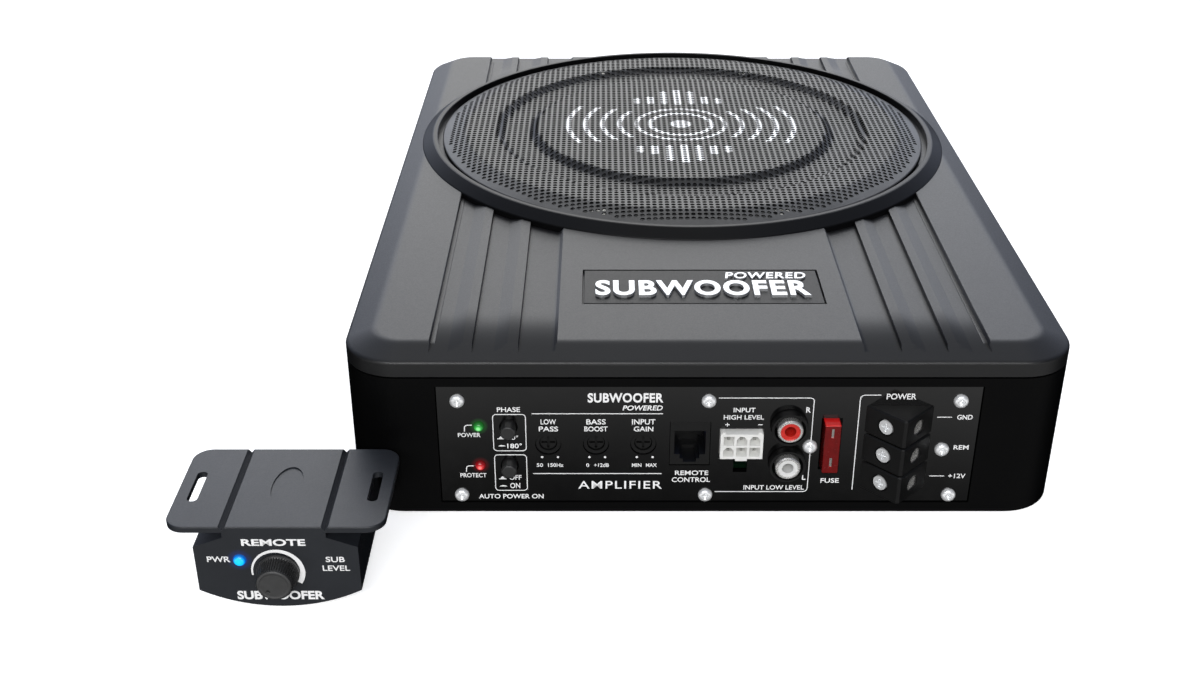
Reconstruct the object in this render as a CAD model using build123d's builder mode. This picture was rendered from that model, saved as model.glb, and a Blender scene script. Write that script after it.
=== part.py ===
from build123d import *
import os
from math import sqrt, sin, cos, radians

os.makedirs("parts", exist_ok=True)

# Powered under-seat car subwoofer with a wired level remote.
# Frame: +Z up, origin at the centre of the enclosure's base, controls face -Y.
# All sizes in millimetres.

# ---------------------------------------------------------------- dimensions
W, D = 240.0, 318.0            # enclosure width (X) and depth (Y)
FY = -D / 2                    # front face of the enclosure
R_CORNER = 18.0                # vertical corner radius
WALL, FLOOR_T = 3.2, 3.0
RIM_Z = 52.45                  # rim of the lower shell
COVER_Z0 = 53.05               # lower edge of the top cover
BEVEL_Z, TOP_Z = 58.3, 62.4    # start of the bevel and top plateau
BEVEL_X, BEVEL_Y = 9.8, 7.4    # bevel width at the sides, and front and back
GROOVE_Z, RIB_Z = 60.2, 61.9   # groove floors and rib tops

RY = 39.6                      # woofer axis, at x = 0
RING_OR, RING_LIP, RING_IR = 113.2, 108.5, 106.6
RING_TOP = 65.8
GRILLE_R, GRILLE_TOP, SHEET = 104.4, 67.0, 1.0
SCREW_PCD_R = 93.2
COVER_HOLE_R = 88.5

PX, PZ0, PZ1 = 89.0, 4.3, 49.0           # control panel half-width and height range
PF, PT = FY + 0.6, 2.0                   # panel front face and thickness
PB = PF + PT                             # panel back face
BOARD_Z, BOARD_T = 10.0, 1.6
BT = BOARD_Z + BOARD_T                   # top of the amplifier board

PANEL_SCREWS = [(-82.3, 43.8), (0, 43.8), (82.3, 43.8), (-82.3, 6.85), (0, 6.85), (82.3, 6.85), (34.15, 26.2), (78.05, 25.1)]
POT_X = {"low_pass": -52.8, "bass_boost": -36.9, "input_gain": -21.2}
POT_Z, POT_R, SHAFT_R = 27.0, 4.35, 2.95
BTN_X, BTN_Z1, BTN_Z2, BTN_R = -65.8, 33.7, 18.6, 2.5
LED_X, LED_Z1, LED_Z2, LED_R = -75.6, 34.0, 18.7, 1.75
RCA_X, RCA_Z1, RCA_Z2 = 26.8, 34.3, 20.0
RCA_R, RCA_SHOULDER, RCA_IR, RCA_PIN_R = 4.2, 4.6, 3.3, 1.9
FUSE_X, FUSE_W, FUSE_Z0, FUSE_Z1 = 40.85, 5.3, 17.7, 36.4
TB_X0, TB_X1, TB_Z0, TB_POLE, TB_GAP = 51.8, 73.8, 9.7, 10.87, 0.45
COVER_SCREWS = [(-104, -143), (104, -143), (-104, 143), (104, 143), (-109.5, -20), (109.5, -20)]
BASE_HOLES_X, BASE_HOLES_Y, BASE_HOLE_R = 95.0, 125.0, 2.1

RX = -133.9                    # remote centre line
RF, RB = -208.9, -165.6        # remote front and back
R_HALF, PLATE_HALF = 25.0, 33.4
KNOB_Z = 13.3

pieces = {}


def slab(x0, x1, y0, y1, z0, z1, mode=Mode.ADD):
    with Locations(((x0 + x1) / 2, (y0 + y1) / 2, (z0 + z1) / 2)):
        Box(x1 - x0, y1 - y0, z1 - z0, mode=mode)


def ycyl(x, z, y0, y1, r, mode=Mode.ADD):
    with Locations(Location((x, (y0 + y1) / 2, z), (90, 0, 0))):
        Cylinder(r, y1 - y0, mode=mode)


def zcyl(x, y, z0, z1, r, mode=Mode.ADD):
    with Locations((x, y, (z0 + z1) / 2)):
        Cylinder(r, z1 - z0, mode=mode)


# The woofer's half-section plane: local x is the radius, local y is the height.
WOOFER = Plane(origin=(0, RY, 0), x_dir=(1, 0, 0), z_dir=(0, -1, 0))
WOOFER_AXIS = Axis((0, RY, 0), (0, 0, 1))


def turned(points, plane=WOOFER, axis=WOOFER_AXIS, mode=Mode.ADD):
    with BuildSketch(plane) as section:
        with BuildLine():
            Polyline(*points, close=True)
        make_face()
    revolve(section.sketch, axis=axis, mode=mode)


# ------------------------------------------------------------- the enclosure
# Lower shell: an open tub with a panel window in front, screw columns for the
# cover and four threaded bosses in the base for a stranger's bracket.
with BuildPart() as lower_shell:
    with BuildSketch(Plane.XY):
        RectangleRounded(W, D, R_CORNER)
    extrude(amount=RIM_Z)
    fillet(lower_shell.edges().group_by(Axis.Z)[0], 0.6)
    with BuildSketch(Plane.XY.offset(FLOOR_T)):
        RectangleRounded(W - 2 * WALL, D - 2 * WALL, R_CORNER - WALL)
    extrude(amount=60, mode=Mode.SUBTRACT)
    slab(-94, 94, FY + 3.0, FY + 6.6, FLOOR_T - 1, RIM_Z)
    slab(-PX - 0.35, PX + 0.35, FY - 1, PB, PZ0 - 0.35, PZ1 + 0.35, Mode.SUBTRACT)
    slab(-81.6, 81.6, FY - 1, FY + 9, 10.4, 41.6, Mode.SUBTRACT)
    for x, z in PANEL_SCREWS[:6]:
        ycyl(x, z, PB - 1, FY + 8, 1.27, Mode.SUBTRACT)
    for x, y in COVER_SCREWS:
        zcyl(x, y, 1, RIM_Z, 4.5)
    for x, y in COVER_SCREWS:
        zcyl(x, y, -1, 36, 3.6, Mode.SUBTRACT)
        zcyl(x, y, 30, 60, 1.75, Mode.SUBTRACT)
    for sx in (-1, 1):
        for sy in (-1, 1):
            zcyl(sx * BASE_HOLES_X, sy * BASE_HOLES_Y, 1, 12, 5)
            zcyl(sx * BASE_HOLES_X, sy * BASE_HOLES_Y, -1, 10, BASE_HOLE_R, Mode.SUBTRACT)
    for sx in (-1, 1):
        for y in (-140, -44):
            zcyl(sx * 78, y, 1, BOARD_Z, 3)
            zcyl(sx * 78, y, BOARD_Z - 1, BT + 1.4, 1.2)
pieces["lower_shell"] = lower_shell

# Sealing strip between the two halves, set in from the outside so that a thin
# shadow line runs round the box.
with BuildPart() as shell_gasket:
    with BuildSketch(Plane.XY.offset(RIM_Z)):
        RectangleRounded(W - 2.4, D - 2.4, R_CORNER - 1.2)
        RectangleRounded(W - 6.0, D - 6.0, R_CORNER - 3.0, mode=Mode.SUBTRACT)
    extrude(amount=COVER_Z0 - RIM_Z)
pieces["shell_gasket"] = shell_gasket

# Groove section, seen along Y, for x > 0: a floor, then two ribs that each have
# a sharp wall towards the centre and a soft ramp outwards, then a sharp wall up
# to the outer plateau.
GROOVE = [(49.5, 66), (49.5, 62.2), (50.6, 60.6), (51.6, GROOVE_Z), (62, GROOVE_Z), (62, RIB_Z), (65.6, RIB_Z),
          (67.6, 61.1), (70, GROOVE_Z), (77, GROOVE_Z), (77, RIB_Z), (80.3, RIB_Z), (82.6, 61.1), (85, GROOVE_Z),
          (91, GROOVE_Z), (91, 66)]

with BuildPart() as top_cover:
    with BuildSketch(Plane.XY.offset(COVER_Z0)):
        RectangleRounded(W, D, R_CORNER)
    extrude(amount=BEVEL_Z - COVER_Z0)
    with BuildSketch(Plane.XY.offset(BEVEL_Z)):
        RectangleRounded(W, D, R_CORNER)
    with BuildSketch(Plane.XY.offset(TOP_Z)):
        RectangleRounded(W - 2 * BEVEL_X, D - 2 * BEVEL_Y, 10.0)
    loft()
    try:
        fillet(top_cover.edges().filter_by(lambda e: abs(e.center().Z - BEVEL_Z) < 0.01), 1.6)
    except Exception as error:
        print("bevel edge left sharp:", error)
    try:
        fillet(top_cover.edges().filter_by(lambda e: abs(e.center().Z - TOP_Z) < 0.01), 1.2)
    except Exception as error:
        print("plateau edge left sharp:", error)
    # the inside
    with BuildSketch(Plane.XY.offset(COVER_Z0 - 1)):
        RectangleRounded(W - 2 * WALL, D - 2 * WALL, R_CORNER - WALL)
    extrude(amount=57.2 - COVER_Z0 + 1, mode=Mode.SUBTRACT)
    zcyl(0, RY, 54.5, 58, 101)
    for x, y in COVER_SCREWS:
        zcyl(x, y, COVER_Z0, 58, 4.2)
    for x, y in COVER_SCREWS:
        zcyl(x, y, 50, 56.6, 1.62, Mode.SUBTRACT)
    # stepped grooves, which run the whole depth and roll down into the bevel at both ends
    for sx in (-1, 1):
        for sy in (-1, 1):
            with BuildLine():
                l1 = Line((sx * 70, 0, GROOVE_Z), (sx * 70, sy * 151, GROOVE_Z))
                a1 = TangentArc((sx * 70, sy * 151, GROOVE_Z), (sx * 70, sy * 158.2, GROOVE_Z - 1.456), tangent=(0, sy, 0))
                l2 = Line(a1 @ 1, a1 @ 1 + (a1 % 1) * 4)
            with BuildSketch(Plane.XZ):
                with BuildLine():
                    Polyline(*[(sx * x, z) for x, z in GROOVE], close=True)
                make_face()
            sweep(mode=Mode.SUBTRACT)
    # seats for the trim ring and for the woofer, and the opening
    zcyl(0, RY, GROOVE_Z, 70, RING_OR + 0.15, Mode.SUBTRACT)
    zcyl(0, RY, 58.2, 70, 98.7, Mode.SUBTRACT)
    zcyl(0, RY, 50, 70, COVER_HOLE_R, Mode.SUBTRACT)
    with Locations((0, RY, 56)):
        with PolarLocations(SCREW_PCD_R, 8, start_angle=22.5):
            Cylinder(1.92, 12, mode=Mode.SUBTRACT)
    slab(-41.7, 41.7, -125.4, -98.6, 61.0, 70, Mode.SUBTRACT)
pieces["top_cover"] = top_cover

with BuildPart() as cover_screws:
    for x, y in COVER_SCREWS:
        zcyl(x, y, 33.5, 36, 3.2)
        zcyl(x, y, 36, 56, 1.6)
    for x, y in COVER_SCREWS:
        slab(x - 2, x + 2, y - 0.4, y + 0.4, 32, 34.6, Mode.SUBTRACT)
        slab(x - 0.4, x + 0.4, y - 2, y + 2, 32, 34.6, Mode.SUBTRACT)
pieces["cover_screws"] = cover_screws

with BuildPart() as badge_plate:
    slab(-41.1, 41.1, -124.8, -99.2, 61.0, 62.35)
    fillet(badge_plate.edges().group_by(Axis.Z)[-1], 0.2)
pieces["badge_plate"] = badge_plate

# Trim ring: a steep outer wall, a cone up to a thin lip and a ledge inside that
# carries the grille.
with BuildPart() as trim_ring:
    turned([(RING_OR, GROOVE_Z), (RING_OR, 62.4), (RING_OR - 0.25, 62.75), (RING_LIP + 0.3, RING_TOP - 0.15), (RING_LIP - 0.2, RING_TOP),
            (RING_IR + 0.25, RING_TOP), (RING_IR, RING_TOP - 0.25), (RING_IR, 62.2), (99, 62.2), (99, GROOVE_Z)])
pieces["trim_ring"] = trim_ring

# Grille: pressed sheet with a skirt, a sloped margin and an embossed ring.
with BuildPart() as grille:
    turned([(0, 67), (62.7, 67), (63.7, 66.6), (65.6, 64.9), (66.6, 64.6), (77.4, 64.6), (78.4, 64.9), (80.3, 66.6), (81.3, 67), (93.6, 67),
            (94.6, 66.8), (101.4, 64.65), (102.4, 64.4), (104.0, 64.4), (GRILLE_R, 64.0), (GRILLE_R, 62.2), (103.4, 62.2), (103.4, 63.4),
            (102.2, 63.4), (101.2, 63.6), (94.3, 65.8), (93.4, 66), (81.4, 66), (80.5, 65.6), (78.8, 63.95), (77.6, 63.6), (66.4, 63.6),
            (65.2, 63.95), (63.5, 65.6), (62.6, 66), (0, 66)])
pieces["grille"] = grille

# ---------------------------------------------------------------- the woofer
# Pressed steel basket: magnet seat, spider ledge, windowed wall, surround shelf
# and flange.
with BuildPart() as woofer_basket:
    turned([(24, 31), (55.5, 31), (55.5, 38), (59.6, 38), (81, 53), (87.5, 53), (87.5, 59.2), (98.4, 59.2), (98.4, 60.7), (86, 60.7),
            (86, 54.5), (80.5, 54.5), (59.1, 39.5), (54, 39.5), (54, 32.5), (24, 32.5)])
    with Locations((0, RY, 46)):
        with PolarLocations(70, 8):
            Box(13, 28, 40, mode=Mode.SUBTRACT)
    with Locations((0, RY, 60)):
        with PolarLocations(SCREW_PCD_R, 8, start_angle=22.5):
            Cylinder(2.1, 8, mode=Mode.SUBTRACT)
pieces["woofer_basket"] = woofer_basket

with BuildPart() as woofer_gasket:
    with BuildSketch(Plane.XY.offset(58.2)):
        with Locations((0, RY)):
            Circle(98.3)
            Circle(COVER_HOLE_R + 0.3, mode=Mode.SUBTRACT)
            with PolarLocations(SCREW_PCD_R, 8, start_angle=22.5):
                Circle(2.1, mode=Mode.SUBTRACT)
    extrude(amount=1.0)
pieces["woofer_gasket"] = woofer_gasket

with BuildPart() as woofer_screws:
    with Locations((0, RY, 0)):
        with PolarLocations(SCREW_PCD_R, 8, start_angle=22.5):
            with Locations((0, 0, 61.5)):
                Cylinder(3.2, 1.6)
            with Locations((0, 0, 57.85)):
                Cylinder(1.9, 5.7)
            with Locations((0, 0, 62.2)):
                Box(3.6, 0.8, 1.4, mode=Mode.SUBTRACT)
                Box(0.8, 3.6, 1.4, mode=Mode.SUBTRACT)
pieces["woofer_screws"] = woofer_screws

with BuildPart() as woofer_yoke:
    turned([(4, 7), (49, 7), (50, 8), (50, 13), (19.6, 13), (19.6, 31), (4, 31)])
pieces["woofer_yoke"] = woofer_yoke

with BuildPart() as woofer_magnet:
    turned([(27, 13), (52, 13), (52, 26), (27, 26)])
pieces["woofer_magnet"] = woofer_magnet

with BuildPart() as woofer_top_plate:
    turned([(21.7, 26), (50, 26), (50, 31), (21.7, 31)])
pieces["woofer_top_plate"] = woofer_top_plate

with BuildPart() as voice_coil:
    turned([(20.1, 22), (20.5, 22), (20.5, 23), (21.1, 23), (21.1, 33), (20.5, 33), (20.5, 44.9), (20.1, 44.9)])
pieces["voice_coil"] = voice_coil

SPIDER = [(20.6, 39.5), (24, 39.5), (27, 40.7), (30, 38.7), (33, 40.7), (36, 38.7), (39, 40.7), (42, 38.7), (45, 40.7), (48, 38.7), (51, 40.7),
          (53.5, 39.55), (58.6, 39.55)]
with BuildPart() as spider:
    turned(SPIDER + [(r, z + 0.6) for r, z in reversed(SPIDER)])
pieces["spider"] = spider

with BuildPart() as woofer_cone:
    turned([(20.6, 43.9), (22.1, 43.9), (66.1, 53.5), (69.5, 53.5), (69.5, 54.5), (66, 54.5), (22, 45), (20.6, 45)])
pieces["woofer_cone"] = woofer_cone

with BuildPart() as surround:
    with BuildSketch(WOOFER):
        with BuildLine():
            Polyline((80.9, 55.15), (85.7, 55.15), (85.7, 54.55), (80.3, 54.55), (80.3, 55.15))
            ThreePointArc((80.3, 55.15), (75.2, 60.25), (70.1, 55.15))
            Polyline((70.1, 55.15), (70.1, 54.55), (65.7, 54.55), (65.7, 55.15), (69.5, 55.15))
            ThreePointArc((69.5, 55.15), (75.2, 60.85), (80.9, 55.15))
        make_face()
    revolve(axis=WOOFER_AXIS)
pieces["surround"] = surround

CAP = [(0, 51), (4, 50.85), (8, 50.4), (12, 49.7), (16, 48.65), (20, 47.3), (24, 45.6)]
with BuildPart() as dust_cap:
    turned(CAP + [(22.3, 45.6)] + [(r, z - 0.8) for r, z in reversed(CAP[:-1])])
pieces["dust_cap"] = dust_cap

with BuildPart() as speaker_terminals:
    slab(-9, 9, RY - 57.4, RY - 55.8, 31.4, 37.6)
    slab(-6.4, -4.0, RY - 65, RY - 57.4, 34, 34.8)
    slab(4.0, 6.4, RY - 65, RY - 57.4, 34, 34.8)
pieces["speaker_terminals"] = speaker_terminals

with BuildPart() as speaker_leads:
    for x in (-5.2, 5.2):
        with BuildLine():
            FilletPolyline((x, RY - 65, 34.4), (x, RY - 78, 34.4), (x, RY - 78, BT), radius=9)
        with BuildSketch(Plane(origin=(x, RY - 65, 34.4), z_dir=(0, -1, 0))):
            Circle(1.1)
        sweep()
print("speaker lead arc radius 9, diameter 2.2")
pieces["speaker_leads"] = speaker_leads

# ------------------------------------------------------------- the amplifier
with BuildPart() as amplifier_board:
    slab(-84, 84, FY + 12, -36, BOARD_Z, BT)
    for sx in (-1, 1):
        for y in (-140, -44):
            zcyl(sx * 78, y, 0, 20, 1.25, Mode.SUBTRACT)
pieces["amplifier_board"] = amplifier_board

with BuildPart() as heat_sink:
    slab(-66, 66, -52, -48, BT, 37)
    for i in range(15):
        x = -63 + i * 9
        slab(x - 1, x + 1, -64, -52, BT, 37)
pieces["heat_sink"] = heat_sink

with BuildPart() as power_transistors:
    for x in (-54, -36, -18, 18, 36, 54):
        slab(x - 5, x + 5, -48, -43.5, 15, 30)
        for dx in (-2.5, 0, 2.5):
            slab(x + dx - 0.35, x + dx + 0.35, -46, -45.4, BT, 15)
pieces["power_transistors"] = power_transistors

with BuildPart() as filter_capacitors:
    for x in (-62, -43, -24, -5):
        zcyl(x, -84, BT, 39, 8)
    fillet(filter_capacitors.edges().group_by(Axis.Z)[-1], 1.0)
pieces["filter_capacitors"] = filter_capacitors

with BuildPart() as toroid_transformer:
    with Locations((42, -92, BT + 8)):
        Cylinder(19, 16)
        Cylinder(7.5, 16, mode=Mode.SUBTRACT)
    fillet(toroid_transformer.edges().filter_by(GeomType.CIRCLE), 3.5)
pieces["toroid_transformer"] = toroid_transformer

# ---------------------------------------------------------- the control panel
with BuildPart() as control_panel:
    slab(-PX, PX, PF, PB, PZ0, PZ1)
    for x, z in PANEL_SCREWS:
        ycyl(x, z, PF - 1, PB + 1, 1.4, Mode.SUBTRACT)
    for x in POT_X.values():
        ycyl(x, POT_Z, PF - 1, PB + 1, POT_R, Mode.SUBTRACT)
    for z in (BTN_Z1, BTN_Z2):
        ycyl(BTN_X, z, PF - 1, PB + 1, 3.1, Mode.SUBTRACT)
    for z in (LED_Z1, LED_Z2):
        ycyl(LED_X, z, PF - 1, PB + 1, 1.85, Mode.SUBTRACT)
    for z in (RCA_Z1, RCA_Z2):
        ycyl(RCA_X, z, PF - 1, PB + 1, 6.3, Mode.SUBTRACT)
    slab(-12.5, 1.1, PF - 1, PB + 1, 18.6, 35.6, Mode.SUBTRACT)
    slab(4.0, 18.6, PF - 1, PB + 1, 22.2, 33.0, Mode.SUBTRACT)
    slab(9.0, 13.6, PF - 1, PB + 1, 15.9, 22.4, Mode.SUBTRACT)
    slab(FUSE_X - 3.45, FUSE_X + 3.45, PF - 1, PB + 1, FUSE_Z0 - 0.75, FUSE_Z1 + 0.75, Mode.SUBTRACT)
    slab(52.9, 72.7, PF - 1, PB + 1, 11.3, 41.7, Mode.SUBTRACT)
pieces["control_panel"] = control_panel

with BuildPart() as panel_screws:
    for x, z in PANEL_SCREWS:
        ycyl(x, z, PF - 1.5, PF, 2.4)
    fillet(panel_screws.edges().group_by(Axis.Y)[0], 1.15)
    for x, z in PANEL_SCREWS:
        ycyl(x, z, PF, PF + 5.3, 1.25)
        slab(x - 1.3, x + 1.3, PF - 3, PF - 0.4, z - 0.3, z + 0.3, Mode.SUBTRACT)
        slab(x - 0.3, x + 0.3, PF - 3, PF - 0.4, z - 1.3, z + 1.3, Mode.SUBTRACT)
pieces["panel_screws"] = panel_screws


with BuildPart() as led_power:
    ycyl(LED_X, LED_Z1, PF - 1.5, PB + 5, LED_R)
    fillet(led_power.edges().group_by(Axis.Y)[0], 1.5)
    slab(LED_X - 1.5, LED_X - 1.0, PB + 3.5, PB + 4.0, BT, LED_Z1)
    slab(LED_X + 1.0, LED_X + 1.5, PB + 3.5, PB + 4.0, BT, LED_Z1)
pieces["led_power"] = led_power

with BuildPart() as led_protect:
    ycyl(LED_X, LED_Z2, PF - 1.5, PB + 2.8, LED_R)
    fillet(led_protect.edges().group_by(Axis.Y)[0], 1.5)
    slab(LED_X - 1.5, LED_X - 1.0, PB + 1.8, PB + 2.3, BT, LED_Z2)
    slab(LED_X + 1.0, LED_X + 1.5, PB + 1.8, PB + 2.3, BT, LED_Z2)
pieces["led_protect"] = led_protect

# One switch block carries both push-button plungers.
with BuildPart() as switch_block:
    slab(BTN_X - 4.4, BTN_X + 4.4, PB + 0.8, PB + 10.4, BT, BTN_Z1 + 4.2)
    for z in (BTN_Z1, BTN_Z2):
        ycyl(BTN_X, z, PB - 2, PB + 9.4, BTN_R + 0.3, Mode.SUBTRACT)
pieces["switch_block"] = switch_block

for name, z in (("phase_button", BTN_Z1), ("auto_power_button", BTN_Z2)):
    with BuildPart() as button:
        ycyl(BTN_X, z, PF - 4.4, PB + 6.2, BTN_R)
        fillet(button.edges().group_by(Axis.Y)[0], 0.5)
    pieces[name] = button

with BuildPart() as potentiometers:
    for x in POT_X.values():
        slab(x - 5.4, x + 5.4, PB + 1.2, PB + 9.2, BT, POT_Z + 5.2)
        ycyl(x, POT_Z, PF + 0.8, PB + 1.2, 4.2)
        ycyl(x, POT_Z, PF - 1, PB + 7.6, SHAFT_R + 0.05, Mode.SUBTRACT)
pieces["potentiometers"] = potentiometers

for name, x in POT_X.items():
    with BuildPart() as shaft:
        ycyl(x, POT_Z, PF + 1.4, PB + 7.2, SHAFT_R)
        chamfer(shaft.edges().group_by(Axis.Y)[0], 0.3)
        slab(x - 2.3, x + 2.3, PF, PF + 2.4, POT_Z - 0.4, POT_Z + 0.4, Mode.SUBTRACT)
        slab(x - 0.4, x + 0.4, PF, PF + 2.4, POT_Z - 2.3, POT_Z + 2.3, Mode.SUBTRACT)
    pieces[name + "_shaft"] = shaft

# Modular socket for the remote's lead: contacts at the top, latch slot below.
SX = -5.7
with BuildPart() as remote_socket:
    slab(SX - 6.6, SX + 6.6, PF + 0.3, PB + 14, 18.8, 35.4)
    slab(SX - 6.6, SX + 6.6, PB + 0.3, PB + 14, BT, 18.9)
    slab(SX - 5.2, SX + 5.2, PF - 1, PF + 12.5, 22.8, 32.0, Mode.SUBTRACT)
    slab(SX - 3.3, SX + 3.3, PF - 1, PF + 12.5, 21.1, 22.9, Mode.SUBTRACT)
    slab(SX - 2.2, SX + 2.2, PF - 1, PF + 9, 19.8, 21.2, Mode.SUBTRACT)
pieces["remote_socket"] = remote_socket

with BuildPart() as remote_socket_contacts:
    for i in range(6):
        x = SX - 3.2 + i * 1.27
        with BuildSketch(Plane.YZ.offset(x - 0.25)):
            with BuildLine():
                Polyline((PF + 2.6, 32.0), (PF + 3.1, 32.0), (PF + 9.4, 29.0), (PF + 9.4, 28.4), close=True)
            make_face()
        extrude(amount=0.5)
pieces["remote_socket_contacts"] = remote_socket_contacts

# Six-way speaker-level input header.
HX, HZ = 11.3, 27.2
KEYED = ((1, 0), (2, 0), (0, 1))   # cells with cut top corners: column, row
with BuildPart() as input_header:
    slab(HX - 7.05, HX + 7.05, PF - 2.0, PB + 6, HZ - 4.8, HZ + 4.8)
    for side in (-1, 1):
        slab(HX + side * 5.3 - 1.75, HX + side * 5.3 + 1.75, PB + 0.3, PB + 6, BT, HZ - 4.7)
        slab(HX + side * 6.0 - 0.55, HX + side * 6.0 + 0.55, PF - 1.9, PB + 1, HZ + 4.7, HZ + 5.5)
    slab(HX - 1.95, HX + 1.95, PF - 2.0, PF + 0.5, HZ - 5.6, HZ - 4.7)
    for i, dx in enumerate((-4.3, 0, 4.3)):
        for j, dz in enumerate((2.12, -2.12)):
            with BuildSketch(Plane(origin=(HX + dx, PF - 5, HZ + dz), x_dir=(1, 0, 0), z_dir=(0, -1, 0))):
                if (i, j) in KEYED:
                    with BuildLine():
                        Polyline((-1.75, 0.5), (-1.75, -1.75), (1.75, -1.75), (1.75, 0.5), (0.7, 1.75), (-0.7, 1.75), close=True)
                    make_face()
                else:
                    Rectangle(3.5, 3.5)
            extrude(amount=-10, mode=Mode.SUBTRACT)
pieces["input_header"] = input_header

with BuildPart() as header_pins:
    for dx in (-4.3, 0, 4.3):
        for dz in (2.12, -2.12):
            slab(HX + dx - 0.45, HX + dx + 0.45, PF - 0.4, PF + 5, HZ + dz - 0.45, HZ + dz + 0.45)
pieces["header_pins"] = header_pins

# Twin phono socket.
with BuildPart() as rca_body:
    slab(20.2, 36.5, PB + 0.2, PB + 10, BT, 41.2)
    for z in (RCA_Z1, RCA_Z2):
        ycyl(RCA_X, z, PF - 3.3, PB + 0.3, 6.0)
    for z in (RCA_Z1, RCA_Z2):
        ycyl(RCA_X, z, PF - 4, PF + 3.5, 5.2, Mode.SUBTRACT)
        ycyl(RCA_X, z, PF - 4, PB + 8, RCA_SHOULDER + 0.02, Mode.SUBTRACT)
    ycyl(PANEL_SCREWS[6][0], PANEL_SCREWS[6][1], PB - 2, PB + 5, 1.27, Mode.SUBTRACT)
pieces["rca_body"] = rca_body

# The barrel stands free in a deep ring-shaped recess, which takes the plug's
# sleeve, and ends at a shoulder that the socket body holds.
RCA_F, RCA_S = PF - 4.4, PF + 3.4
with BuildPart() as rca_shells:
    for z in (RCA_Z1, RCA_Z2):
        ycyl(RCA_X, z, RCA_F, PB + 8, RCA_R)
    chamfer(rca_shells.edges().group_by(Axis.Y)[0], 0.35)
    for z in (RCA_Z1, RCA_Z2):
        ycyl(RCA_X, z, RCA_S, PB + 8, RCA_SHOULDER)
    for z in (RCA_Z1, RCA_Z2):
        ycyl(RCA_X, z, RCA_F - 1, PB + 9, RCA_IR, Mode.SUBTRACT)
pieces["rca_shells"] = rca_shells

for name, z in (("rca_insulator_right", RCA_Z1), ("rca_insulator_left", RCA_Z2)):
    with BuildPart() as insulator:
        ycyl(RCA_X, z, RCA_F + 0.4, PB + 8, RCA_IR)
        ycyl(RCA_X, z, RCA_F - 1, RCA_F + 10, RCA_PIN_R, Mode.SUBTRACT)
    pieces[name] = insulator

# Blade fuse and its holder.
BLADES = (33.3, 22.0)
with BuildPart() as fuse_holder:
    slab(36.7, 44.7, PB + 0.2, PB + 14, BT, 40.5)
    slab(FUSE_X - FUSE_W / 2 - 0.4, FUSE_X + FUSE_W / 2 + 0.4, PB - 1, PB + 4.9, FUSE_Z0 - 0.4, FUSE_Z1 + 0.4, Mode.SUBTRACT)
    for z in BLADES:
        slab(FUSE_X - 0.75, FUSE_X + 0.75, PB + 4, PB + 13.2, z - 2.9, z + 2.9, Mode.SUBTRACT)
pieces["fuse_holder"] = fuse_holder

with BuildPart() as fuse_body:
    slab(FUSE_X - FUSE_W / 2, FUSE_X + FUSE_W / 2, FY - 3.0, PB + 4.4, FUSE_Z0, FUSE_Z1)
    fillet(fuse_body.edges().filter_by(Axis.Y), 0.5)
    fillet(fuse_body.edges().group_by(Axis.Y)[0], 0.4)
    for z in BLADES:
        slab(FUSE_X - 0.4, FUSE_X + 0.4, FY - 4, PB + 5, z - 1.75, z + 1.75, Mode.SUBTRACT)
pieces["fuse_body"] = fuse_body

with BuildPart() as fuse_blades:
    for z in BLADES:
        slab(FUSE_X - 0.4, FUSE_X + 0.4, FY - 2.7, PB + 4.4, z - 1.75, z + 1.75)
        slab(FUSE_X - 0.4, FUSE_X + 0.4, PB + 4.4, PB + 12.4, z - 2.55, z + 2.55)
pieces["fuse_blades"] = fuse_blades

# Power terminal block: three wedge-nosed poles. The left face of each nose
# holds the clamp screw, the right face takes the wire.
TB_XC = (TB_X0 + TB_X1) / 2
TB_H = (TB_X1 - TB_X0) / 2
POLES = [TB_Z0 + TB_POLE * (i + 0.5) for i in (2, 1, 0)]
S = 1 / sqrt(2)
LEFT_N, RIGHT_N = Vector(-S, -S, 0), Vector(S, -S, 0)


def face_point(side, z, depth=0.0):
    n = LEFT_N if side < 0 else RIGHT_N
    p = Vector(TB_XC + side * TB_H / 2, PF - TB_H / 2, z)
    return p - n * depth


def bored(side, z, d0, d1, r, mode=Mode.ADD):
    n = LEFT_N if side < 0 else RIGHT_N
    with BuildSketch(Plane(origin=face_point(side, z, d1), z_dir=n)) as section:
        Circle(r)
    extrude(section.sketch, amount=d1 - d0, mode=mode)


with BuildPart() as terminal_block:
    for z in POLES:
        h = TB_POLE - TB_GAP
        with BuildSketch(Plane.XY.offset(z - h / 2)):
            with BuildLine():
                Polyline((TB_X0, PF - 0.05), (TB_XC - 0.6, PF - TB_H + 0.6), (TB_XC + 0.6, PF - TB_H + 0.6), (TB_X1, PF - 0.05),
                         close=True)
            make_face()
        extrude(amount=h)
    chamfer(terminal_block.edges().filter_by(lambda e: abs(e.tangent_at(0.5).Z) < 0.1 and e.center().Y < PF - 1), 0.45)
    slab(TB_X0 + 1.2, TB_X1 - 1.2, PF - 0.4, PB + 15, BT, 41.5)
    slab(TB_X1 - 1.3, 80.6, PB + 0.2, PB + 5, 21.8, 31.8)
    ycyl(PANEL_SCREWS[7][0], PANEL_SCREWS[7][1], PB - 2, PB + 6, 1.27, Mode.SUBTRACT)
    for z in POLES:
        bored(-1, z, -1, 3.0, 3.1, Mode.SUBTRACT)
        bored(-1, z, 2, 4.7, 2.0, Mode.SUBTRACT)
        bored(1, z, -1, 10.8, 2.87, Mode.SUBTRACT)
pieces["terminal_block"] = terminal_block

with BuildPart() as terminal_inserts:
    for z in POLES:
        bored(1, z, 0.8, 10.8, 2.85)
        bored(1, z, -1, 12, 2.3, Mode.SUBTRACT)
pieces["terminal_inserts"] = terminal_inserts

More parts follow.
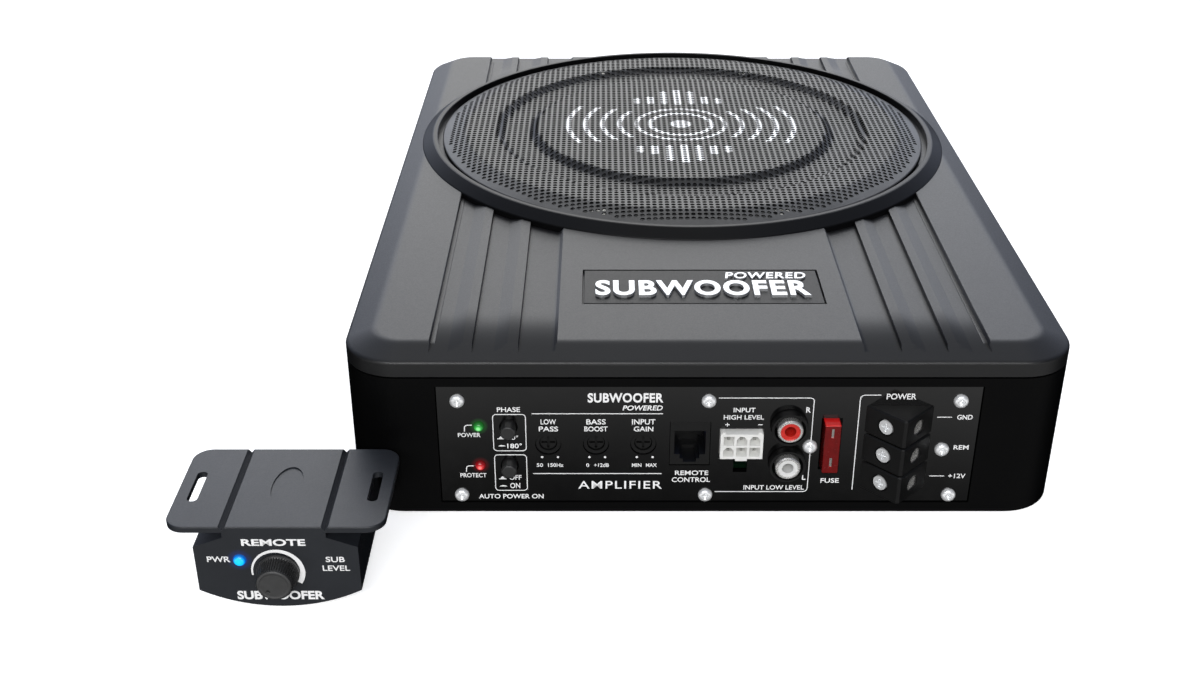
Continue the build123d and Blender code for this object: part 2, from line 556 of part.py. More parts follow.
for i, z in enumerate(POLES):
    with BuildPart() as clamp_screw:
        bored(-1, z, 0.1, 2.7, 2.5)
        bored(-1, z, 2.7, 4.5, 1.95)
        for turn in (0, 90):
            with BuildSketch(Plane(origin=face_point(-1, z, 1.3), x_dir=(0, 0, 1), z_dir=LEFT_N)):
                Rectangle(3.2, 0.75, rotation=turn)
            extrude(amount=3, mode=Mode.SUBTRACT)
    pieces[f"terminal_screw_{i + 1}"] = clamp_screw

# ----------------------------------------------------------------- the remote
BODY = [(-R_HALF, 6.2), (-R_HALF, 22.5), (-15.7, 26.0), (-15.7, 27.8), (15.7, 27.8), (15.7, 26.0), (R_HALF, 22.5), (R_HALF, 6.2)]
with BuildPart() as remote_housing:
    with BuildSketch(Plane.XZ.offset(-RB - 1.6 + 3.2)):
        with BuildLine():
            Polyline(*[(RX + x, z) for x, z in BODY])
            ThreePointArc((RX + R_HALF, 6.2), (RX, 0), (RX - R_HALF, 6.2))
        make_face()
    extrude(amount=RB - 1.6 - RF)
    with BuildSketch(Plane.XY.offset(27.8)):
        with Locations((RX, (RF + RB) / 2)):
            RectangleRounded(2 * PLATE_HALF, RB - RF, 6.0)
    extrude(amount=2.0)
    fillet(remote_housing.edges().group_by(Axis.Z)[-1], 0.4)
    # cavity, open at the back
    with BuildSketch(Plane.XZ.offset(-RB - 5)):
        with BuildLine():
            Polyline(*[(RX + x, z) for x, z in [(-23, 7.6), (-23, 21.1), (-14.6, 24.3), (14.6, 24.3), (23, 21.1), (23, 7.6)]])
            ThreePointArc((RX + 23, 7.6), (RX, 2.1), (RX - 23, 7.6))
        make_face()
    extrude(amount=RB - RF + 5 - 2.5, mode=Mode.SUBTRACT)
    for sx in (-1, 1):
        ycyl(RX + sx * 20.6, 17, RF + 2, RB - 1.6, 2.3)
        ycyl(RX + sx * 20.6, 17, RB - 12, RB, 0.97, Mode.SUBTRACT)
    # snap-off lines, ear slots and a shallow oval in the plate
    for sx in (-1, 1):
        with BuildSketch(Plane.XZ.offset(-RB - 2)):
            with BuildLine():
                Polyline((RX + sx * 15.5 - 1.25, 29.95), (RX + sx * 15.5, 28.5), (RX + sx * 15.5 + 1.25, 29.95), close=True)
            make_face()
        extrude(amount=RB - RF + 4, mode=Mode.SUBTRACT)
    with BuildSketch(Plane.XY.offset(27)):
        with Locations((RX - 27.9, -187.2), (RX + 27.9, -187.2)):
            SlotOverall(16.3, 3.3, rotation=90)
    extrude(amount=4, mode=Mode.SUBTRACT)
    with BuildSketch(Plane.XY.offset(29.4)):
        with Locations((RX + 0.2, -186.8)):
            Ellipse(4.8, 10.5)
    extrude(amount=1, mode=Mode.SUBTRACT)
    ycyl(RX, KNOB_Z, RF - 1, RF + 4, 3.6, Mode.SUBTRACT)
    ycyl(RX - 11.3, 17.7, RF - 1, RF + 4, 2.05, Mode.SUBTRACT)
pieces["remote_housing"] = remote_housing

with BuildPart() as remote_rear_cover:
    with BuildSketch(Plane.XZ.offset(-RB)):
        with BuildLine():
            Polyline(*[(RX + x, z) for x, z in [(-R_HALF, 6.2), (-R_HALF, 22.5), (-15.7, 26.0), (15.7, 26.0), (R_HALF, 22.5), (R_HALF, 6.2)]])
            ThreePointArc((RX + R_HALF, 6.2), (RX, 0), (RX - R_HALF, 6.2))
        make_face()
    extrude(amount=1.6)
    slab(RX - 6.4, RX + 6.4, RB - 5, RB + 1, 6.6, 18.2, Mode.SUBTRACT)
    for sx in (-1, 1):
        ycyl(RX + sx * 20.6, 17, RB - 5, RB + 1, 1.1, Mode.SUBTRACT)
pieces["remote_rear_cover"] = remote_rear_cover

with BuildPart() as remote_cover_screws:
    for sx in (-1, 1):
        ycyl(RX + sx * 20.6, 17, RB, RB + 1.0, 1.9)
        ycyl(RX + sx * 20.6, 17, RB - 9, RB, 0.95)
        slab(RX + sx * 20.6 - 1.2, RX + sx * 20.6 + 1.2, RB + 0.5, RB + 2, 16.75, 17.25, Mode.SUBTRACT)
pieces["remote_cover_screws"] = remote_cover_screws

with BuildPart() as remote_board:
    slab(RX - 18, RX + 18, RF + 4, RB - 2.2, 5.6, 6.8)
pieces["remote_board"] = remote_board

with BuildPart() as remote_potentiometer:
    slab(RX - 5, RX + 5, RF + 5, RF + 14, 6.8, KNOB_Z + 5)
    ycyl(RX, KNOB_Z, RF + 3, RF + 12, 3.0, Mode.SUBTRACT)
pieces["remote_potentiometer"] = remote_potentiometer

with BuildPart() as remote_knob:
    with BuildSketch(Plane.XZ.offset(-RF + 0.3)):
        with Locations((RX, KNOB_Z)):
            Circle(6.6)
    extrude(amount=1.2)
    with BuildSketch(Plane.XZ.offset(-RF + 1.5)):
        with Locations((RX, KNOB_Z)):
            Circle(6.35)
    with BuildSketch(Plane.XZ.offset(-RF + 7.2)):
        with Locations((RX, KNOB_Z)):
            Circle(5.35)
    loft()
    fillet(remote_knob.edges().group_by(Axis.Y)[0], 0.6)
    ycyl(RX - 2.5, KNOB_Z - 3.6, RF - 8, RF - 6.8, 0.5, Mode.SUBTRACT)
    ycyl(RX, KNOB_Z, RF - 1, RF + 11.5, 2.95)
pieces["remote_knob"] = remote_knob

with BuildPart() as remote_led:
    ycyl(RX - 11.3, 17.7, RF - 1.2, RF + 6, 1.95)
    fillet(remote_led.edges().group_by(Axis.Y)[0], 1.2)
    slab(RX - 12.8, RX - 12.3, RF + 4.6, RF + 5.1, 6.8, 17.7)
    slab(RX - 10.3, RX - 9.8, RF + 4.6, RF + 5.1, 6.8, 17.7)
pieces["remote_led"] = remote_led

with BuildPart() as remote_jack:
    slab(RX - 6.2, RX + 6.2, RB - 15, RB - 0.2, 6.8, 18.0)
    slab(RX - 4.9, RX + 4.9, RB - 13, RB + 1, 9.2, 16.4, Mode.SUBTRACT)
    slab(RX - 2.8, RX + 2.8, RB - 13, RB + 1, 7.8, 9.3, Mode.SUBTRACT)
pieces["remote_jack"] = remote_jack

# ------------------------------------------------------------------- writing
for name, piece in pieces.items():
    piece.part.label = name
    export_step(piece.part, f"parts/{name}.step")
print(len(pieces), "nodes")
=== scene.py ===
import math
from math import cos, pi, radians, sin

import bmesh
import bpy
import numpy as np
from mathutils import Matrix, Vector
from mathutils.geometry import delaunay_2d_cdt


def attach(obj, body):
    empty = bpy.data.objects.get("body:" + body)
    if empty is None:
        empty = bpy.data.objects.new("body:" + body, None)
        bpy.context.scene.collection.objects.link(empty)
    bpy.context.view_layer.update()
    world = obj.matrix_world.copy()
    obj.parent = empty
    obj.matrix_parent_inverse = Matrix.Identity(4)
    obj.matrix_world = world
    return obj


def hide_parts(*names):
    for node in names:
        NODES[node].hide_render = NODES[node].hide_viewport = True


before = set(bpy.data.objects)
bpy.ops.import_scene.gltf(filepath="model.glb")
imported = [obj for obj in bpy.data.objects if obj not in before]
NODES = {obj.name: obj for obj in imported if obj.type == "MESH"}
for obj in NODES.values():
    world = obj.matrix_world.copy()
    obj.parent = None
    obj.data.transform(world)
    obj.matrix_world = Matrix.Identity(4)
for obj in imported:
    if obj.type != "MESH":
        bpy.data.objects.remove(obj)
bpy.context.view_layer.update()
MM = 0.001
scene = bpy.context.scene

# ------------------------------------------------------------------- camera
cam = bpy.data.cameras.new("camera")
cam.sensor_width, cam.lens = 36.0, 42.895
cam.clip_start, cam.clip_end = 0.01, 100.0
cam_ob = bpy.data.objects.new("camera", cam)
cam_ob.location = (-0.03558, -0.5590, 0.28447)
cam_ob.rotation_euler = (radians(90 - 28.465), 0, 0)
scene.collection.objects.link(cam_ob)
scene.camera = cam_ob
scene.view_settings.view_transform = "Standard"
scene.view_settings.look = "None"

# ----------------------------------------------------------- studio and floor
world = bpy.data.worlds.new("studio")
scene.world = world
world.use_nodes = True
wn = world.node_tree
wn.nodes.clear()


def wnode(kind, **values):
    n = wn.nodes.new(kind)
    for k, v in values.items():
        setattr(n, k, v)
    return n


def wramp(value, stops, kind="EASE"):
    """A grey colour ramp over a value from 0 to 1."""
    r = wnode("ShaderNodeValToRGB")
    r.color_ramp.interpolation = kind
    while len(r.color_ramp.elements) < len(stops):
        r.color_ramp.elements.new(0.5)
    for e, (p, c) in zip(r.color_ramp.elements, stops):
        e.position = p
        e.color = (*c, 1) if isinstance(c, tuple) else (c, c, c, 1)
    wn.links.new(value, r.inputs[0])
    return r.outputs[0]


def wmath(op, a, b=None):
    n = wnode("ShaderNodeMath", operation=op)
    for i, v in enumerate((a, b)):
        if v is None:
            continue
        if isinstance(v, (int, float)):
            n.inputs[i].default_value = v
        else:
            wn.links.new(v, n.inputs[i])
    return n.outputs[0]


wcoord = wnode("ShaderNodeTexCoord")
wsep = wnode("ShaderNodeSeparateXYZ")
wn.links.new(wcoord.outputs["Generated"], wsep.inputs[0])
wx, wy, wz = wsep.outputs
# back to front: bright behind the object, dim in front of it
along = wramp(wmath("MULTIPLY_ADD", wy, 0.5), [(0.0, 0.10), (0.3, 0.14), (0.5, 0.40), (0.72, 0.56), (0.90, 0.72), (1.0, 0.80)])
along.node.inputs[0].links[0].from_node.inputs[2].default_value = 0.5
# only above the horizon, with a faint low card in front
up = wmath("MULTIPLY_ADD", wz, 0.5)
up.node.inputs[2].default_value = 0.5
above = wramp(up, [(0.0, 0.0), (0.488, 0.0), (0.53, 1.0), (1.0, 1.0)], "LINEAR")
card = wramp(up, [(0.0, 0.0), (0.198, 0.01), (0.225, 0.12), (0.255, 0.50), (0.34, 0.70), (0.49, 0.70), (0.50, 0.0)], "LINEAR")
side = wramp(wmath("ABSOLUTE", wx), [(0.0, (1.0, 1.0, 1.0)), (0.10, (1.0, 1.0, 1.0)), (0.30, (0.66, 0.72, 0.87)), (0.60, (0.26, 0.29, 0.38)), (1.0, (0.10, 0.11, 0.15))])
tint = wnode("ShaderNodeMix", data_type="RGBA", blend_type="MULTIPLY")
tint.inputs[0].default_value = 1.0
wn.links.new(wmath("MULTIPLY", along, above), tint.inputs[6])
wn.links.new(side, tint.inputs[7])
low = wnode("ShaderNodeMix", data_type="RGBA", blend_type="ADD")
low.inputs[0].default_value = 1.0
wn.links.new(tint.outputs[2], low.inputs[6])
front_only = wramp(wmath("MULTIPLY", wy, -1.0), [(0.0, 0.0), (0.5, 1.0)])
wn.links.new(wmath("MULTIPLY", wmath("MULTIPLY", card, front_only), 0.62), low.inputs[7])
wbg = wnode("ShaderNodeBackground")
wbg.inputs[1].default_value = 2.45
wn.links.new(low.outputs[2], wbg.inputs[0])
wout = wnode("ShaderNodeOutputWorld")
wn.links.new(wbg.outputs[0], wout.inputs[0])


def area(name, place, aim, size, power, colour=(1, 1, 1)):
    lamp = bpy.data.lights.new(name, "AREA")
    lamp.shape, lamp.size, lamp.size_y = "RECTANGLE", size[0], size[1]
    lamp.energy, lamp.color = power, colour
    ob = bpy.data.objects.new(name, lamp)
    ob.location = place
    ob.rotation_euler = (Vector(aim) - Vector(place)).to_track_quat("-Z", "Y").to_euler()
    scene.collection.objects.link(ob)
    return ob


area("rear_softbox", (0.0, 1.9, 1.15), (0, 0, 0.05), (2.6, 0.9), 12)
area("front_softbox", (-0.15, -1.6, 0.95), (0, -0.15, 0.03), (1.6, 0.45), 26)

floor_mesh = bpy.data.meshes.new("floor")
floor_mesh.from_pydata([(-20, -20, -0.0003), (20, -20, -0.0003), (20, 20, -0.0003), (-20, 20, -0.0003)], [], [(0, 1, 2, 3)])
floor = bpy.data.objects.new("floor", floor_mesh)
scene.collection.objects.link(floor)
floor.visible_glossy = False
floor.visible_diffuse = False

# ---------------------------------------------------------------- materials


def ramp(nt, value, stops, kind="LINEAR"):
    r = nt.nodes.new("ShaderNodeValToRGB")
    r.color_ramp.interpolation = kind
    while len(r.color_ramp.elements) < len(stops):
        r.color_ramp.elements.new(0.5)
    for e, (p, c) in zip(r.color_ramp.elements, stops):
        e.position = p
        e.color = (*c, 1)
    nt.links.new(value, r.inputs[0])
    return r.outputs[0]


def noise(nt, coord, scale, detail=3.0, rough=0.55, stretch=None):
    if stretch:
        m = nt.nodes.new("ShaderNodeMapping")
        m.inputs["Scale"].default_value = stretch
        nt.links.new(coord, m.inputs["Vector"])
        coord = m.outputs[0]
    n = nt.nodes.new("ShaderNodeTexNoise")
    n.inputs["Scale"].default_value = scale
    n.inputs["Detail"].default_value = detail
    n.inputs["Roughness"].default_value = rough
    nt.links.new(coord, n.inputs["Vector"])
    return n.outputs[0]


def spread(nt, value, lo, hi, a=0.3, b=0.7):
    m = nt.nodes.new("ShaderNodeMapRange")
    m.inputs[1].default_value, m.inputs[2].default_value = a, b
    m.inputs[3].default_value, m.inputs[4].default_value = lo, hi
    nt.links.new(value, m.inputs[0])
    return m.outputs[0]


def material(name, dark, light, rough, metal=0.0, spec=0.5, grain=0.45, height=0.012, strength=0.5, rough_var=0.06, blotch=12.0,
             coat=0.0, coat_rough=0.1, glow=None, glow_power=0.0, stretch=None, through=0.0, ior=1.5, sub=None):
    """A moulded, painted or plated finish. dark and light are the two colours it wanders between, grain is its texture in mm and
    height how deep that texture is in mm."""
    m = bpy.data.materials.new(name)
    m.use_nodes = True
    nt = m.node_tree
    p = nt.nodes["Principled BSDF"]
    coord = nt.nodes.new("ShaderNodeTexCoord").outputs["Object"]
    fine = noise(nt, coord, 1 / (grain * MM), 2.0, 0.6, stretch)
    wide = noise(nt, coord, 1 / (blotch * MM), 4.0, 0.6)
    nt.links.new(ramp(nt, wide, [(0.32, dark), (0.68, light)]), p.inputs["Base Color"])
    nt.links.new(spread(nt, fine, max(rough - rough_var, 0.02), min(rough + rough_var, 1.0)), p.inputs["Roughness"])
    if height:
        b = nt.nodes.new("ShaderNodeBump")
        b.inputs["Strength"].default_value = strength
        b.inputs["Distance"].default_value = height * MM
        nt.links.new(fine, b.inputs["Height"])
        nt.links.new(b.outputs[0], p.inputs["Normal"])
    p.inputs["Metallic"].default_value = metal
    p.inputs["Specular IOR Level"].default_value = spec
    p.inputs["IOR"].default_value = ior
    p.inputs["Coat Weight"].default_value = coat
    p.inputs["Coat Roughness"].default_value = coat_rough
    p.inputs["Transmission Weight"].default_value = through
    if glow:
        p.inputs["Emission Color"].default_value = (*glow, 1)
        p.inputs["Emission Strength"].default_value = glow_power
    m.diffuse_color = (*light, 1)
    return m


def grey(v):
    return (v, v, v)


M = {
    "shell_plastic": material("shell_plastic", (0.0011, 0.0011, 0.0012), (0.0016, 0.0016, 0.0017), 0.46, spec=0.08, grain=0.42, height=0.016, strength=0.55, rough_var=0.05, blotch=30),
    "cover_plastic": material("cover_plastic", (0.0035, 0.0036, 0.0039), (0.0050, 0.0051, 0.0055), 0.46, spec=0.5, grain=0.42, height=0.016, strength=0.55, rough_var=0.05, blotch=30),
    "seal_foam": material("seal_foam", grey(0.004), grey(0.008), 0.9, spec=0.1, grain=0.5, height=0.05),
    "trim_plastic": material("trim_plastic", (0.0024, 0.0024, 0.0026), (0.0034, 0.0034, 0.0037), 0.36, spec=0.15, grain=0.35, height=0.010, strength=0.45, rough_var=0.04, blotch=25),
    "badge": material("badge", (0.005, 0.005, 0.0053), (0.0065, 0.0065, 0.0068), 0.38, spec=0.15, grain=0.5, height=0.008, strength=0.4),
    "grille_paint": None,
    "basket_paint": material("basket_paint", grey(0.010), grey(0.016), 0.5, grain=0.6, height=0.015),
    "ferrite": material("ferrite", grey(0.035), grey(0.055), 0.75, grain=0.3, height=0.02),
    "plated_steel": material("plated_steel", (0.42, 0.42, 0.40), (0.55, 0.55, 0.52), 0.3, metal=1.0, grain=0.5, height=0.004),
    # the screws' faint white emission is painted light that makes the heads look brighter than their lighting alone
    "chrome_screw": material("chrome_screw", (0.80, 0.81, 0.82), (0.90, 0.91, 0.92), 0.32, metal=0.6, grain=0.25, height=0.002, strength=0.35, rough_var=0.06, blotch=2.0, glow=(1, 1, 1), glow_power=0.08),
    "cone_material": material("cone_material", grey(0.010), grey(0.018), 0.72, grain=0.9, height=0.05, stretch=(1, 1, 3)),
    "surround_rubber": material("surround_rubber", grey(0.008), grey(0.012), 0.55, grain=0.7, height=0.015),
    "spider_cloth": material("spider_cloth", (0.24, 0.15, 0.05), (0.34, 0.23, 0.10), 0.9, grain=0.5, height=0.08),
    "coil_copper": material("coil_copper", (0.55, 0.25, 0.12), (0.72, 0.36, 0.18), 0.35, metal=1.0, grain=0.3, height=0.02, stretch=(1, 1, 8)),
    "pcb": material("pcb", (0.003, 0.018, 0.008), (0.005, 0.028, 0.012), 0.42, spec=0.25, grain=1.2, height=0.01, blotch=4),
    "aluminium_raw": material("aluminium_raw", grey(0.55), grey(0.70), 0.4, metal=1.0, grain=0.4, height=0.008, stretch=(0.2, 1, 1)),
    "component_black": material("component_black", grey(0.0028), grey(0.0044), 0.42, spec=0.32, grain=0.3, height=0.01),
    "capacitor_sleeve": material("capacitor_sleeve", (0.010, 0.012, 0.03), (0.016, 0.02, 0.045), 0.3, grain=1.5, height=0.01),
    "panel_gloss": material("panel_gloss", (0.0012, 0.0012, 0.0013), (0.0016, 0.0016, 0.0017), 0.10, spec=0.5, grain=6.0, height=0.004, strength=0.2, rough_var=0.03, blotch=20),
    "led_green": material("led_green", (0.010, 0.10, 0.015), (0.015, 0.14, 0.02), 0.16, grain=0.6, height=0.003),
    "led_red": material("led_red", (0.16, 0.004, 0.006), (0.22, 0.008, 0.010), 0.16, grain=0.6, height=0.003),
    "led_cyan": material("led_cyan", (0.004, 0.10, 0.22), (0.008, 0.14, 0.30), 0.18, grain=0.6, height=0.003),
    "button_black": material("button_black", grey(0.016), grey(0.024), 0.35, grain=0.4, height=0.008),
    # the header's faint white emission is painted light that brightens it
    "nylon_white": material("nylon_white", (0.62, 0.62, 0.60), (0.72, 0.72, 0.70), 0.42, spec=0.4, grain=0.5, height=0.008, blotch=3, glow=(1, 1, 0.98), glow_power=0.10),
    "gold_contact": material("gold_contact", (0.75, 0.52, 0.20), (0.90, 0.66, 0.30), 0.22, metal=1.0, grain=0.4, height=0.002),
    "nickel": material("nickel", (0.74, 0.73, 0.71), (0.86, 0.85, 0.83), 0.26, metal=0.8, grain=0.3, height=0.002, rough_var=0.05, blotch=2.5),
    "insulator_red": material("insulator_red", (0.50, 0.014, 0.010), (0.62, 0.024, 0.016), 0.3, grain=0.4, height=0.004, blotch=2),
    "insulator_white": material("insulator_white", (0.66, 0.66, 0.65), (0.76, 0.76, 0.75), 0.3, grain=0.4, height=0.004, blotch=2),
    "fuse_red": material("fuse_red", (0.42, 0.006, 0.006), (0.60, 0.012, 0.010), 0.22, spec=0.3, grain=0.7, height=0.003, blotch=3),
    "lead_insulation": material("lead_insulation", grey(0.012), grey(0.02), 0.45, grain=0.6, height=0.01),
    "remote_plastic": material("remote_plastic", (0.0120, 0.0138, 0.0175), (0.0155, 0.0178, 0.0222), 0.44, grain=0.34, height=0.022, strength=0.7, rough_var=0.07, blotch=14),
    "knob_plastic": material("knob_plastic", grey(0.012), grey(0.018), 0.42, grain=0.3, height=0.012, rough_var=0.06, blotch=3),
    # the ink's faint white emission is painted light standing in for front light on the legends
    "white_ink_painted_glow": material("white_ink_painted_glow", grey(0.72), grey(0.80), 0.55, spec=0.3, grain=0.2, height=0.002, blotch=6, glow=(1, 1, 1), glow_power=0.14),
    "silver_letters": material("silver_letters", (0.52, 0.53, 0.54), (0.64, 0.65, 0.66), 0.34, metal=0.75, grain=0.3, height=0.004, blotch=5),
    "pot_black": material("pot_black", grey(0.0025), grey(0.0040), 0.55, spec=0.3, grain=0.3, height=0.01),
    "knob_face": material("knob_face", grey(0.040), grey(0.050), 0.5, spec=0.4, grain=0.25, height=0.010, blotch=4),
    # the contacts' bluish-white tint and blue emission are painted light on the pins
    "contact_painted_glow": material("contact_painted_glow", (0.42, 0.52, 0.95), (0.62, 0.72, 1.0), 0.25, metal=0.5, grain=0.3, height=0.002, blotch=1.5, glow=(0.30, 0.42, 0.95), glow_power=0.8),
    # near-black for the grille's hole walls and underside: painted shade
    "hole_painted_shade": material("hole_painted_shade", grey(0.002), grey(0.003), 0.7, spec=0.1, grain=0.4, height=0.01),
    # near-black meant as painted shade on groove walls; nothing uses it
    "groove_painted_shade": material("groove_painted_shade", grey(0.002), grey(0.004), 0.7, spec=0.1, grain=0.4, height=0.01),
    "floor_pale": material("floor_pale", grey(0.86), grey(0.90), 0.85, spec=0.2, grain=8.0, height=0.0, blotch=300, glow=(1, 1, 1), glow_power=0.62),
}
floor_mesh.materials.append(M["floor_pale"])


def glow_spot(mat, spots):
    """Painted light that a lamp throws on or through a surface, as emission: spots are (centre in mm, stops), where
    stops are (distance from the lamp's axis in mm, colour)."""
    nt = mat.node_tree
    p = nt.nodes["Principled BSDF"]
    coord = nt.nodes.new("ShaderNodeTexCoord").outputs["Object"]
    total = None
    for centre, stops in spots:
        flat = nt.nodes.new("ShaderNodeVectorMath")
        flat.operation = "MULTIPLY"
        flat.inputs[1].default_value = (1, 0, 1)
        nt.links.new(coord, flat.inputs[0])
        dist = nt.nodes.new("ShaderNodeVectorMath")
        dist.operation = "DISTANCE"
        dist.inputs[1].default_value = (centre[0] * MM, 0, centre[2] * MM)
        nt.links.new(flat.outputs[0], dist.inputs[0])
        reach = stops[-1][0]
        part = ramp(nt, spread(nt, dist.outputs["Value"], 0.0, 1.0, 0.0, reach * MM), [(d / reach, c) for d, c in stops], "EASE")
        if total is None:
            total = part
        else:
            add = nt.nodes.new("ShaderNodeMix")
            add.data_type, add.blend_type = "RGBA", "ADD"
            add.inputs[0].default_value = 1.0
            nt.links.new(total, add.inputs[6])
            nt.links.new(part, add.inputs[7])
            total = add.outputs[2]
    nt.links.new(total, p.inputs["Emission Color"])
    p.inputs["Emission Strength"].default_value = 1.0


G_LED, R_LED, C_LED = (-75.6, 0, 34.0), (-75.6, 0, 18.7), (-133.9 - 11.3, 0, 17.7)
# LED lenses: each glow's bright core and dark rim are a painted highlight and painted dome shading on top of the lamp's
# own light
glow_spot(M["led_green"], [((-75.7, 0, 33.7), [(0, (0.45, 1.0, 0.48)), (0.55, (0.22, 0.85, 0.25)), (1.0, (0.03, 0.30, 0.05)), (1.6, (0.004, 0.07, 0.010)), (2.0, (0, 0.02, 0))])])
glow_spot(M["led_red"], [((-75.7, 0, 18.4), [(0, (1.0, 0.45, 0.42)), (0.5, (0.95, 0.16, 0.15)), (1.0, (0.42, 0.012, 0.016)), (1.6, (0.12, 0.002, 0.004)), (2.0, (0.03, 0, 0))])])
glow_spot(M["led_cyan"], [(C_LED, [(0, (0.02, 0.72, 1.0)), (1.25, (0.01, 0.62, 1.0)), (1.6, (0.0, 0.25, 0.85)), (1.9, (0.0, 0.06, 0.35)), (2.2, (0, 0.02, 0.1))])])
# painted light: the LEDs' glow spilling onto the panel around them
glow_spot(M["panel_gloss"], [(G_LED, [(0, (0.004, 0.06, 0.008)), (1.9, (0.004, 0.045, 0.006)), (3.4, (0, 0, 0))]),
                             (R_LED, [(0, (0.06, 0.001, 0.002)), (1.9, (0.05, 0.001, 0.002)), (3.4, (0, 0, 0))])])
# painted light: the remote LED's blue halo on the remote face
glow_spot(M["remote_plastic"], [(C_LED, [(0, (0.0, 0.02, 0.16)), (2.0, (0.0, 0.02, 0.15)), (2.6, (0.0, 0.006, 0.05)), (4.2, (0, 0, 0))])])


def lit_from_above(mat, below, above):
    """Painted light on translucent plastic: its upward faces get a lighter colour and its upright ones a darker one, as
    if lit from above.
    """
    nt = mat.node_tree
    p = nt.nodes["Principled BSDF"]
    n = nt.nodes.new("ShaderNodeNewGeometry")
    sep = nt.nodes.new("ShaderNodeSeparateXYZ")
    nt.links.new(n.outputs["Normal"], sep.inputs[0])
    wide = noise(nt, nt.nodes.new("ShaderNodeTexCoord").outputs["Object"], 400, 3.0)
    blend = nt.nodes.new("ShaderNodeMath")
    blend.operation = "MULTIPLY_ADD"
    blend.inputs[1].default_value = 0.12
    nt.links.new(wide, blend.inputs[0])
    nt.links.new(sep.outputs[2], blend.inputs[2])
    nt.links.new(ramp(nt, blend.outputs[0], [(0.02, below), (0.35, tuple((a + b) / 2 for a, b in zip(below, above))), (0.9, above)]), p.inputs["Base Color"])


lit_from_above(M["fuse_red"], (0.10, 0.0015, 0.0015), (0.75, 0.02, 0.02))

FINISH = {
    "lower_shell": "shell_plastic", "top_cover": "cover_plastic", "shell_gasket": "seal_foam", "woofer_gasket": "seal_foam", "trim_ring": "trim_plastic",
    "badge_plate": "badge", "woofer_basket": "basket_paint", "woofer_yoke": "plated_steel", "woofer_top_plate": "plated_steel",
    "woofer_magnet": "ferrite", "cover_screws": "plated_steel", "woofer_screws": "plated_steel", "remote_cover_screws": "plated_steel",
    "panel_screws": "chrome_screw", "terminal_screw_1": "chrome_screw", "terminal_screw_2": "chrome_screw", "terminal_screw_3": "chrome_screw",
    "woofer_cone": "cone_material", "dust_cap": "cone_material", "surround": "surround_rubber", "spider": "spider_cloth", "voice_coil": "coil_copper",
    "toroid_transformer": "coil_copper", "amplifier_board": "pcb", "remote_board": "pcb", "heat_sink": "aluminium_raw",
    "speaker_terminals": "gold_contact", "speaker_leads": "lead_insulation", "power_transistors": "component_black",
    "filter_capacitors": "capacitor_sleeve", "control_panel": "panel_gloss", "led_power": "led_green", "led_protect": "led_red",
    "remote_led": "led_cyan", "phase_button": "button_black", "auto_power_button": "button_black", "switch_block": "component_black",
    "potentiometers": "pot_black", "low_pass_shaft": "pot_black", "bass_boost_shaft": "pot_black", "input_gain_shaft": "pot_black",
    "remote_socket": "component_black", "remote_jack": "component_black", "remote_socket_contacts": "contact_painted_glow", "input_header": "nylon_white",
    "header_pins": "plated_steel", "rca_body": "component_black", "rca_shells": "nickel", "rca_insulator_right": "insulator_red",
    "rca_insulator_left": "insulator_white", "fuse_holder": "component_black", "fuse_body": "fuse_red", "fuse_blades": "plated_steel",
    "terminal_block": "component_black", "terminal_inserts": "nickel", "remote_housing": "remote_plastic", "remote_rear_cover": "remote_plastic",
    "remote_potentiometer": "component_black", "remote_knob": "knob_plastic", "grille": "trim_plastic",
}
for name, ob in NODES.items():
    m = M[FINISH[name]]
    for s in ob.material_slots:
        s.material = m
    if not ob.material_slots:
        ob.data.materials.append(m)

# ------------------------------------------------------------ mesh helpers


def link(name, mesh, mat, body=None):
    ob = bpy.data.objects.new(name, mesh)
    scene.collection.objects.link(ob)
    if mat is not None:
        mesh.materials.append(mat)
    if body:
        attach(ob, body)
    return ob


def mesh_of(name, verts, faces):
    me = bpy.data.meshes.new(name)
    me.from_pydata([tuple(v) for v in verts], [], [tuple(f) for f in faces])
    me.validate()
    me.update()
    return me


